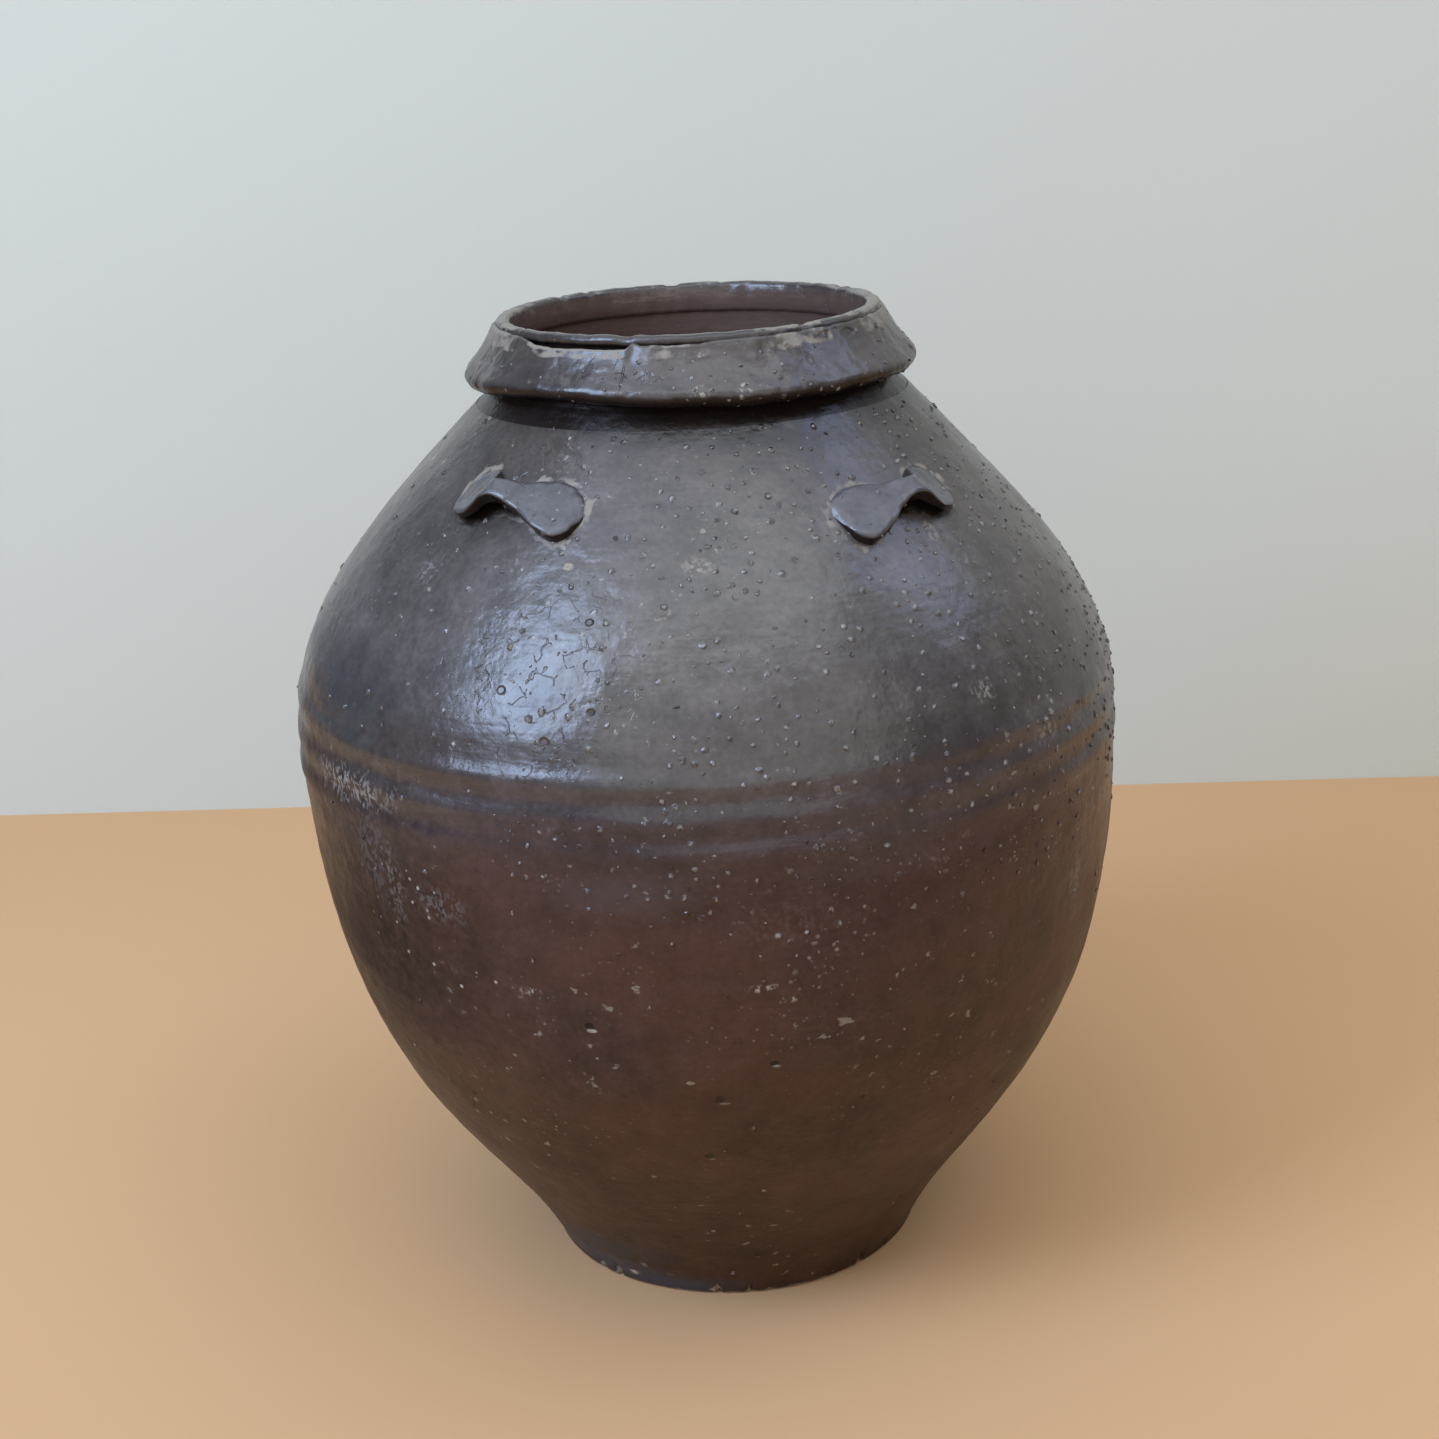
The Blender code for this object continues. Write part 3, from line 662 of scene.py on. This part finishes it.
wall_glaze = iron_glaze("iron-brown stoneware glaze", WALL_COLOURS,
                        [oval(*mark) for mark in WALL_MARKS],
                        crazed=oval("crackle", -23, 252, 30, 28, CRACK_POOL_SHADE_DARK, 1.0))
wall_tree = thrown_wall()
bleb_tree = boiled_glaze()
for node, bottom, top, seed in (("lower_wall", FLOOR, LOWER_JOINT, 3),
                                ("belly_wall", LOWER_JOINT, UPPER_JOINT, 8),
                                ("shoulder_wall", UPPER_JOINT, NECK_JOINT, 5)):
    bare = grown(f"bare_{node}", wall_tree, {"From": share_at(bottom), "To": share_at(top),
                                             "Glaze": wall_glaze})
    if node == "shoulder_wall":
        paint(bare.data, "worn", squeezed_slip)
        # Painted shade under the lugs' arches and lifted edges
        paint(bare.data, "pooled", painted_shade_under_arch)
    wall = grown(f"glazed_{node}", bleb_tree, {"Seed": seed, "Glaze": wall_glaze}, bare.data)
    bpy.data.objects.remove(bare)
    smooth(wall.data)
    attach(wall, "root")
    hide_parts(node)

# The base slab, beaten flat and luted inside the first length of wall. Its upper face keeps
# the potter's spiral, its edge chipped as the jar was dragged about, and the thin glaze on
# it fired matt.
FOOT_EDGE_ROUND = 0.0028
FLOOR_TURN_UP = 0.0100
SPIRAL_PITCH = 0.0085
SPIRAL_DEPTH = 0.0005
FOOT_UNEVEN = 0.0005
FOOT_HOLLOW = 0.0004
CHIP_DEPTH = 0.0009
FOOT_ROUND = 480
SAME_POINT = 0.00001


def swirl(azimuth, waves, key):
    """Noise round the jar that meets itself: about that many waves, from -1 to 1."""
    turn = Vector((math.cos(azimuth), math.sin(azimuth), 0)) * (waves / math.tau)
    return noise.noise(turn + Vector((0, 0, key)))


def arc(centre, radius, start, end, count):
    """Points round a bend, with angles counted from the outward radius."""
    angles = np.radians(np.linspace(start, end, count))
    return [(centre[0] + radius * math.cos(a), centre[1] + radius * math.sin(a)) for a in angles]


def between(start, end, count):
    """Points on a straight run, without its two ends."""
    return [tuple(p) for p in np.linspace(start, end, count + 2)[1:-1]]


def skinned(name, rings, meets_itself=False):
    """Skin rings of points into a closed mesh, back to the first ring or shut at both ends."""
    form = bmesh.new()
    rings = [[form.verts.new(point) for point in ring] for ring in rings]
    for near, far in zip(rings, rings[1:] + (rings[:1] if meets_itself else [])):
        for a, b, c, d in zip(near, near[1:] + near[:1], far[1:] + far[:1], far):
            form.faces.new((a, b, c, d))
    if meets_itself:
        bmesh.ops.remove_doubles(form, verts=form.verts, dist=SAME_POINT)
    else:
        form.faces.new(rings[0])
        form.faces.new(rings[-1])
    bmesh.ops.recalc_face_normals(form, faces=form.faces)
    mesh = bpy.data.meshes.new(name)
    form.to_mesh(mesh)
    form.free()
    return mesh


def turned(name, section_at, around, material):
    """Turn a closed section round the axis; it may change on the way, by the azimuth."""
    rings = []
    for azimuth in (math.tau * i / around for i in range(around)):
        out = Vector((math.sin(azimuth), -math.cos(azimuth), 0))
        rings.append([out * radius + Vector((off_true(level), 0, level))
                      for radius, level in section_at(azimuth)])
    mesh = skinned(name, rings, meets_itself=True)
    mesh.materials.append(material)
    return placed(name, mesh)


def roughen(mesh, grain, amount, keep=None):
    """Push each point along its normal by noise of that grain; keep(point) scales it down."""
    points = [v.co.copy() for v in mesh.vertices]
    normals = [n.vector.copy() for n in mesh.vertex_normals]
    for vertex, point, normal in zip(mesh.vertices, points, normals):
        share = keep(point) if keep else 1
        vertex.co = point + normal * (noise.fractal(point / grain, 1, 2, 3) * amount * share)


def chip(azimuth):
    """How deep the foot's edge is chipped here, from 0 to 1."""
    return ease(swirl(azimuth, 70, 3.1) + 0.5 * swirl(azimuth, 190, 8.4), 0.30, 0.62)


def foot_section(azimuth):
    """The slab's outline there: underside, chipped edge, side, and the floor to its middle."""
    depth = chip(azimuth)
    bevel = FOOT_EDGE_ROUND * (1 + 0.5 * depth)
    radius, _ = wall_frame(FOOT_EDGE_ROUND)
    uneven = FOOT_UNEVEN * swirl(azimuth, 9, 1.7) - CHIP_DEPTH * depth
    edge = (radius - bevel + uneven, bevel)
    top_radius, (out, up) = wall_frame(FLOOR)
    inner = (top_radius - WALL * out, FLOOR - WALL * up)
    side = [(wall_frame(level)[0] + uneven * (1 - level / FLOOR), level)
            for level in np.linspace(bevel * 1.5, FLOOR, 9)]
    turn_up = (inner[0] - FLOOR_TURN_UP, FLOOR)
    rise = [(inner[0] - FLOOR_TURN_UP * (1 - t), FLOOR + (inner[1] - FLOOR) * t * t)
            for t in np.linspace(1, 0, 6)]
    spiral = []
    for radius in np.linspace(turn_up[0], 0, 56)[1:]:
        wave = math.sin(math.tau * radius / SPIRAL_PITCH + azimuth)
        spiral.append((radius, FLOOR + SPIRAL_DEPTH * wave * ease(radius, 0.0, 0.012)
                       * (1 - ease(radius, turn_up[0] - 0.006, turn_up[0]))))
    under = [(radius, FOOT_HOLLOW * ease(edge[0] - radius, 0.001, 0.008))
             for radius in np.linspace(0, edge[0] - 0.001, 14)]
    return under + arc(edge, bevel, -90, 0, 7) + side + rise + spiral


def foot_wear(azimuth, radius, level, normal):
    """Clay shows in the chips, and on the rim that the jar stands on."""
    chipped = chip(math.radians(azimuth)) * (1 - ease(level, 0.003, 0.006))
    return chipped + 0.75 * ease(radius, 0.060, 0.066) * (1 - ease(level, 0.0006, 0.0022))


# Greyer glaze at the front left, and pale clay in the two largest chips
FOOT_MARKS = (("zone", -46, 9, 34, 10, "3a3b44", 0.90), ("zone", -20, 4, 26, 5, "3a3b44", 0.85),
              ("bare", -33, 6.0, 2.2, 1.7, "b5a898", 0.9), ("bare", -8, 2.4, 2.4, 0.9, "a89488", 0.8))
foot_glaze = iron_glaze("thin glaze on the foot", WALL_COLOURS, [oval(*mark) for mark in FOOT_MARKS])
foot = turned("chipped_foot_base", foot_section, FOOT_ROUND, foot_glaze)
paint(foot.data, "worn", foot_wear)
smooth(foot.data)
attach(foot, "root")
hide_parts("foot_base")

# The neck ring, thrown by itself and luted on the shoulder. Its lip is rolled outwards over a
# ledge inside, and the glaze has worn off the lip, down to pale grey-buff clay.
MOUTH_RADIUS = 0.0614
LIP_RADIUS = MOUTH_RADIUS + 0.0054
LIP_ROUND = 0.0017
THROAT_RADIUS = LIP_RADIUS - 0.0022
LEDGE_WIDTH = 0.0012
LEDGE_LEVEL = RIM_LEVEL - 0.0105
WAIST_RADIUS = 0.0702
WAIST_LEVEL = ROOT_LEVEL + 0.0035
SEAM_LEVEL = RIM_LEVEL - 0.0072
LIP_DIP = 0.00045
LIP_DENT = 0.0006
NECK_FLARE = 0.0018
MOUTH_ROUND = 720

# Where the seam under the lip stands open, widest at the front left: azimuths where that
# starts, is full, fades and ends, and how far
SEAM_GAPS = ((-57, -46, -17.5, -15.5, 1.0), (-16, -13, 2, 9, 0.5), (96, 110, 128, 133, 0.8),
             (-150, -143, -120, -104, 0.7))


def collar_seat(level):
    """Radius of the neck's outer face, which leans in from the waist to the lip."""
    share = (level - WAIST_LEVEL) / (RIM_LEVEL - LIP_ROUND - WAIST_LEVEL)
    return WAIST_RADIUS + (LIP_RADIUS - WAIST_RADIUS) * share


def seam_open(azimuth):
    """How far the seam under the lip stands open here, from 0 to 1."""
    return max(window(wrapped(math.degrees(azimuth)), *gap) for gap in SEAM_GAPS)


def neck_section(azimuth):
    """The neck's outline there: the lip, which dips, its throat, seat and root, and the inside."""
    dip = LIP_DIP * swirl(azimuth, 7, 5.5) + 0.0002 * swirl(azimuth, 40, 2.2)
    dent = LIP_DENT * ease(swirl(azimuth, 60, 9.3), 0.25, 0.6)
    rim = RIM_LEVEL - 0.0004 + dip - dent
    outside = (LIP_RADIUS - LIP_ROUND - dent, rim - LIP_ROUND)
    inside = (MOUTH_RADIUS + LIP_ROUND + 0.0004, rim - LIP_ROUND)
    throat = [(THROAT_RADIUS, outside[1] - LIP_ROUND - 0.0001), (THROAT_RADIUS, SEAM_LEVEL)]
    inside_waist = MOUTH_RADIUS + NECK_FLARE
    root_radius, (out, up) = wall_frame(NECK_JOINT)
    root_inner = (root_radius - WALL * out, NECK_JOINT - WALL * up)
    skirt = (ROOT_RADIUS, ROOT_LEVEL)
    return (arc(inside, LIP_ROUND, 180, 90, 6) + arc(outside, LIP_ROUND, 90, -60, 10) + throat
            + [(collar_seat(SEAM_LEVEL), SEAM_LEVEL), (WAIST_RADIUS, WAIST_LEVEL)]
            + between((WAIST_RADIUS, WAIST_LEVEL), skirt, 2) + [skirt]
            + [(root_radius + 0.0002, NECK_JOINT - 0.0006), (root_radius - 0.003, NECK_JOINT - 0.0012),
               root_inner]
            + between(root_inner, (inside_waist, WAIST_LEVEL), 3)
            + [(inside_waist, WAIST_LEVEL), (inside_waist - 0.0001, (WAIST_LEVEL + LEDGE_LEVEL) / 2),
               (MOUTH_RADIUS + LEDGE_WIDTH, LEDGE_LEVEL - 0.0004),
               (MOUTH_RADIUS + LEDGE_WIDTH * 0.4, LEDGE_LEVEL),
               (MOUTH_RADIUS + 0.0001, LEDGE_LEVEL + LEDGE_WIDTH),
               (MOUTH_RADIUS - 0.0001, (LEDGE_LEVEL + RIM_LEVEL) / 2)])


def lip_wear(azimuth, radius, level, normal):
    """Worn bare along the inner edge of the lip, and right across it at the two sides."""
    bare = (0.80 - 0.45 * ease(abs(azimuth), 100, 128)) * ease(level, RIM_LEVEL - 0.0019,
                                                               RIM_LEVEL - 0.0007)
    glossy = max(1 - ease(abs(azimuth + 4), 48, 62), 0.6 * ease(abs(azimuth), 100, 128))
    kept = (glossy * (1 - window(azimuth, 20, 24, 39, 43))
            * ease(radius, MOUTH_RADIUS + 0.0018, MOUTH_RADIUS + 0.0030))
    return bare * (1 - kept)


def lip_painted_shade(azimuth, radius, level, normal):
    """Painted shade in the seam's slot and the angle under the collar; glaze pooled there too."""
    in_slot = ease(radius, MOUTH_RADIUS + 0.0024, MOUTH_RADIUS + 0.0030) * ease(
        RIM_LEVEL - level, 0.0030, 0.0036)
    over_root = ease(level, ROOT_LEVEL - 0.0034, ROOT_LEVEL - 0.0010)
    return 0.85 * max(in_slot, ease(radius, WAIST_RADIUS - 0.003, WAIST_RADIUS) * over_root)


# The two lowest stops, darkest at the neck's root, are painted shade under the collar.
LIP_COLOURS = ((0.320, "1f1a18"), (0.324, "1a1412"), (0.343, "2e2927"), (0.350, "35302d"))
lip_glaze = iron_glaze("worn lip glaze", LIP_COLOURS, (), 0.2)
neck = turned("worn_neck_ring", neck_section, MOUTH_ROUND, lip_glaze)
roughen(neck.data, 0.006, 0.00025, lambda point: ease(point.z, WAIST_LEVEL, SEAM_LEVEL))
paint(neck.data, "worn", lip_wear)
# Painted shade in the seam's slot and under the collar
paint(neck.data, "pooled", lip_painted_shade)
paint(neck.data, "inside", lambda azimuth, radius, level, normal:
      (1 - ease(radius, MOUTH_RADIUS + 0.0018, MOUTH_RADIUS + 0.0026))
      * (1 - ease(level, RIM_LEVEL - 0.0026, RIM_LEVEL - 0.0012)))
smooth(neck.data, math.radians(50))
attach(neck, "root")
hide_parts("neck_ring")

# The collar, a band of soft clay wrapped round the neck to stiffen the mouth. Its crest was
# smeared up to the lip, but not all the way round, and its rolled lower edge hangs clear of
# the shoulder in an uneven wave.
COLLAR_OVERHANG = 0.0084
COLLAR_CREST_WALL = 0.0022
COLLAR_HOLLOW = 0.0007
COLLAR_ROLL = 0.0032
COLLAR_ROLL_LIFT = 0.0038
COLLAR_FACE_LEVELS = (WAIST_LEVEL + 0.005, RIM_LEVEL - 0.004)
COLLAR_FACE_RADII = (0.0778, 0.0690)
COLLAR_FACE_LEAN = math.radians(-25)
COLLAR_MARK_DEPTH = 0.006

# Where the rolled edge rides up and by how much, and where the crest is worn and how far:
# azimuths where that starts, is full, fades and ends, and the amount
COLLAR_RISES = ((-70, -42, -34, -4, 0.0024), (-24, -12, 2, 14, 0.0007))
COLLAR_WORN = ((-92, -80, -60, -52, 1.0), (19, 24, 40, 46, 0.9), (50, 60, 85, 100, 0.9))


def roll_lift(azimuth):
    """How far the rolled edge rides up here: most of it at the front left."""
    lift = sum(window(wrapped(math.degrees(azimuth)), *rise) for rise in COLLAR_RISES)
    return lift + 0.0005 * swirl(azimuth, 10, 6.1) + 0.0002 * swirl(azimuth, 45, 4.4)


def collar_section(azimuth):
    """The band's outline there: its crest, hollow face and rolled edge, and back up the neck."""
    gap = seam_open(azimuth)
    half = COLLAR_CREST_WALL / 2 * (1 + 0.25 * swirl(azimuth, 30, 7.7))
    seat_top = collar_seat(SEAM_LEVEL) + 0.0001
    crest = (seat_top + half - 0.0019 * (1 - gap),
             RIM_LEVEL - 0.0024 - 0.0019 * gap - half + 0.0002 * swirl(azimuth, 50, 1.1))
    fat = COLLAR_ROLL * (1 + 0.10 * swirl(azimuth, 14, 2.9))
    roll = (WAIST_RADIUS + COLLAR_OVERHANG - COLLAR_ROLL + 0.0004 * swirl(azimuth, 6, 8.8),
            WAIST_LEVEL + COLLAR_ROLL_LIFT + roll_lift(azimuth))
    crest_arc = arc(crest, half, 180, 10, 8)
    roll_arc = arc(roll, fat, 35, -120, 16)
    high, low = np.array(crest_arc[-1]), np.array(roll_arc[0])
    face = [tuple(high + (low - high) * t - np.array((COLLAR_HOLLOW * math.sin(math.pi * t), 0)))
            for t in np.linspace(0, 1, 16)[1:-1]]
    hollow = (WAIST_RADIUS - 0.0004, roll[1] + 0.0020)
    return (crest_arc + face + roll_arc + between(roll_arc[-1], hollow, 3)
            + [hollow, (seat_top - 0.0012, SEAM_LEVEL - 0.0006)])


def collar_wear(azimuth, radius, level, normal):
    """Bare clay on the crest, most of it where the smear broke away."""
    crest = ease(level, RIM_LEVEL - 0.0085, RIM_LEVEL - 0.0060) * ease(normal.z, -0.2, 0.3)
    patch = max(window(azimuth, *worn) for worn in COLLAR_WORN)
    line = ease(level, RIM_LEVEL - 0.0078, RIM_LEVEL - 0.0066) * ease(normal.z, 0.30, 0.65)
    return max(crest * patch * 0.62, line * seam_open(math.radians(azimuth)))


# The lowest stop, on the underside of the rolled edge, is painted shade.
COLLAR_COLOURS = ((0.325, "2a2422"), (0.331, "3d3735"), (0.340, "3f3937"), (0.348, "403a36"))
COLLAR_MARKS = (("ash", 1.5, 332.5, 3.4, 2.4, "a39b8a", 0.85),
                ("ash", 12.5, 333, 2.6, 1.6, "b0aca2", 0.8), ("pit", 40, 345.5, 3.4, 1.8, "2a2019", 0.8),
                ("pit", 49, 345, 4.2, 2.0, "2a2019", 0.8), ("zone", -60, 339, 7, 3, "2b2626", 0.4),
                ("pit", -17.3, 337.5, 0.5, 5, "1a120f", 0.4))


def on_collar(kind, azimuth, level, half_length, half_height, code, strength):
    """A mark's place, turn and reach on the band's sloping face, for the glaze."""
    turned_by = math.radians(azimuth)
    level *= MILLIMETRE
    radius = float(np.interp(level, COLLAR_FACE_LEVELS, COLLAR_FACE_RADII))
    return (kind, Vector((radius * math.sin(turned_by), -radius * math.cos(turned_by), level)),
            (COLLAR_FACE_LEAN, 0, turned_by),
            (half_length * MILLIMETRE, COLLAR_MARK_DEPTH, half_height * MILLIMETRE), code, strength)


collar_glaze = iron_glaze("collar glaze", COLLAR_COLOURS,
                          [on_collar(*mark) for mark in COLLAR_MARKS], 0.25,
                          on_collar("crackle", -22, 338, 17, 7, CRACK_POOL_SHADE_DARK, 1.0))
band = turned("bare_collar_band", collar_section, MOUTH_ROUND, collar_glaze)
roughen(band.data, 0.009, 0.00040)
roughen(band.data, 0.0030, 0.00008)
paint(band.data, "worn", collar_wear)
# Painted shade on the underside of the rolled edge, where it faces down
paint(band.data, "pooled", lambda azimuth, radius, level, normal:
      0.9 * ease(-normal.z, -0.32, 0.18) * ease(radius, WAIST_RADIUS, WAIST_RADIUS + 0.002))
collar = grown("wrapped_collar_band", bleb_tree, {"Seed": 11, "Glaze": collar_glaze,
                                                  "Smallest": 0.0005, "Largest": 0.0011}, band.data)
bpy.data.objects.remove(band)
smooth(collar.data, math.radians(50))
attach(collar, "root")
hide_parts("collar_band")

# The four cord lugs. Each is a strap of clay laid along the shoulder and pressed down by two
# thumbs, so that it has a broad lobe at each end and an arched waist that a cord goes under.
# The lobe away from the front lies flush along its top and lifts along its lower edge.
LUG_ROUND = 56
LUG_STEPS = 96

# How deep a thumb sank into a lobe of that width, in millimetres, and how square the strap's
# section is: the powers of its rounding across, on top and underneath, and its bulge there
THUMB_DEPTH = 0.8
THUMB_LOBE = 20
SQUARE_ACROSS = 0.42
SQUARE_ON_TOP = 0.30
SQUARE_UNDER = 0.6
BULGE_UNDER = 0.10


def through(stations, count):
    """A smooth run of that many rows through the rows of a table."""
    table = np.array(stations)
    table = np.vstack([table[:1], table, table[-1:]])
    place = np.linspace(0, len(stations) - 1.0001, count)
    k = place.astype(int)
    t = (place - k)[:, None]
    a, b, c, d = (table[k + i] for i in range(4))
    return 0.5 * (2 * b + (c - a) * t + (2 * a - 5 * b + 4 * c - d) * t * t
                  + (3 * b - a - 3 * c + d) * t ** 3)


def edge_shade(azimuth, radius, level, normal):
    """Painted shade on the strap's edges and underside, which face away from the light."""
    outward = wall_axes(math.radians(azimuth), level).col[2]
    return 0.92 * (1 - ease(normal.dot(outward), 0.30, 0.70))


def lug(name, azimuth, share, hand, drop, push, material):
    """Loft the strap on the curve of the shoulder; its section is a squared-off oval."""
    middle = BELLY_HEIGHT + SHOULDER_HEIGHT * share
    radius, (out, _) = wall_frame(middle)
    rings = []
    for along, top, bottom, rise_top, rise_bottom, thickness in through(LUG_STATIONS, LUG_STEPS):
        ring = []
        for k in range(LUG_ROUND):
            c, s = math.cos(math.tau * k / LUG_ROUND), math.sin(math.tau * k / LUG_ROUND)
            across = (1 + math.copysign(abs(c) ** SQUARE_ACROSS, c)) / 2
            lift = abs(s) ** SQUARE_ON_TOP if s > 0 else -BULGE_UNDER * abs(s) ** SQUARE_UNDER
            slope = bottom + (top - bottom) * across + drop
            pushed = along + push * (1 - across) * ease(along, -4, 10)
            turned_by = math.radians(azimuth) + hand * pushed * MILLIMETRE / radius
            pressed = THUMB_DEPTH * ((top - bottom) / THUMB_LOBE) ** 2 * 4 * across * (1 - across)
            height = rise_bottom + (rise_top - rise_bottom) * across + lift * (thickness - pressed)
            ring.append(on_wall(turned_by, middle + slope * MILLIMETRE * out, height * MILLIMETRE))
        rings.append(ring)
    mesh = skinned(name, rings)
    roughen(mesh, 0.008, 0.00045)
    roughen(mesh, 0.0025, 0.00010)
    # Painted shade on the strap's edges and underside
    paint(mesh, "pooled", edge_shade)
    strap = grown(name, bleb_tree, {"Seed": 2, "Glaze": material, "Smallest": 0.0005,
                                    "Largest": 0.0011}, mesh)
    smooth(strap.data, math.radians(60))
    return strap


LUG_COLOURS = ((0.280, "434246"), (0.300, "474649"))
lug_glaze = iron_glaze("glaze on the lugs", LUG_COLOURS, (), 0.3)
for node, place in LUG_PLACES.items():
    strap = lug(f"glazed_{node}", *place, lug_glaze)
    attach(strap, "root")
    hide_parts(node)

# The studio: a plain pale floor with a pale wall behind, a broad soft light over the camera,
# a cooler one like a window on the left, a small one on the right, and a dim one overhead.
REACH = 2.4
BACKDROP_PLACE = 0.464
BACKDROP_LEFT = -0.48
BACKDROP_SLANT = -0.074
AIM_LEVEL = 0.22

# Each light's azimuth, height, distance, width, depth, brightness beside white, and colour
LAMPS = {"front": (9, 36, 2.4, 3.9, 3.9, 0.93, "fffbf4"),
         "window": (-55, 35, 1.8, 0.74, 1.10, 12.6, "bdd5fb"),
         "right": (92, 44, 1.8, 0.60, 0.80, 2.6, "c4d4ff"),
         "ceiling": (0, 86, 2.0, 2.60, 2.60, 1.5, "e6eeff")}


def flat(name, corners, code, see_through_behind=False):
    """A plain matt card, which can be clear to a camera behind it."""
    mesh = bpy.data.meshes.new(name)
    mesh.from_pydata(corners, [], [tuple(range(len(corners)))])
    matt = bpy.data.materials.new(name)
    matt.use_nodes = True
    tree = matt.node_tree
    node = partial(add, tree)
    shader = tree.nodes["Principled BSDF"]
    shader.inputs["Roughness"].default_value = 0.9
    shader.inputs["Specular IOR Level"].default_value = 0.0
    shader.inputs["Base Color"].default_value = hue(code)
    if see_through_behind:
        behind = node("NewGeometry").outputs["Backfacing"]
        both = node("MixShader", behind, shader, node("BsdfTransparent"))
        tree.links.new(both.outputs[0], tree.nodes["Material Output"].inputs["Surface"])
    mesh.materials.append(matt)
    card = placed(name, mesh)


def soft_light(name, azimuth, height, distance, width, tall, strength, code):
    """A soft light aimed at the belly, which the camera doesn't see."""
    data = bpy.data.lights.new(name, "AREA")
    data.shape = "RECTANGLE"
    data.size = width
    data.size_y = tall
    data.energy = strength * math.pi * width * tall
    data.color = hue(code)[:3]
    lamp = placed(name, data)
    a, e = math.radians(azimuth), math.radians(height)
    way = Vector((math.sin(a) * math.cos(e), -math.cos(a) * math.cos(e), math.sin(e)))
    lamp.location = Vector((0, 0, AIM_LEVEL)) + way * distance
    lamp.rotation_mode = "QUATERNION"
    lamp.rotation_quaternion = way.to_track_quat("Z", "Y")
    lamp.visible_camera = False


flat("pale_floor", [(-REACH, -REACH, 0), (REACH, -REACH, 0), (REACH, REACH, 0), (-REACH, REACH, 0)],
     "c8a178")
ends = [(x, BACKDROP_PLACE + BACKDROP_SLANT * x) for x in (BACKDROP_LEFT, REACH)]
flat("pale_backdrop", [(*ends[0], 0), (*ends[1], 0), (*ends[1], REACH), (*ends[0], REACH)],
     "c8cbc1", see_through_behind=True)
for name, settings in LAMPS.items():
    soft_light(name, *settings)
world = bpy.data.worlds.new("studio")
bpy.context.scene.world = world
world.use_nodes = True
sky = world.node_tree.nodes["Background"]
sky.inputs["Color"].default_value = hue("767c85")
sky.inputs["Strength"].default_value = 1.0

# The camera stands where the photograph's did, as far as a fit to its outlines can tell
CAMERA_PLACE = (0, -0.787815, 0.455175)
CAMERA_TURN = math.radians(-0.271)
CAMERA_LOOKS_DOWN = math.radians(18.05)
CAMERA_ROLL = math.radians(-2.93)
camera = placed("camera", bpy.data.cameras.new("camera"))
camera.data.lens = 56.35
camera.data.sensor_width = 36.0
camera.matrix_world = (Matrix.Translation(CAMERA_PLACE) @ Matrix.Rotation(CAMERA_TURN, 4, "Z")
                       @ Matrix.Rotation(math.radians(90) - CAMERA_LOOKS_DOWN, 4, "X")
                       @ Matrix.Rotation(CAMERA_ROLL, 4, "Z"))
bpy.context.scene.camera = camera
bpy.context.scene.view_settings.view_transform = "Standard"
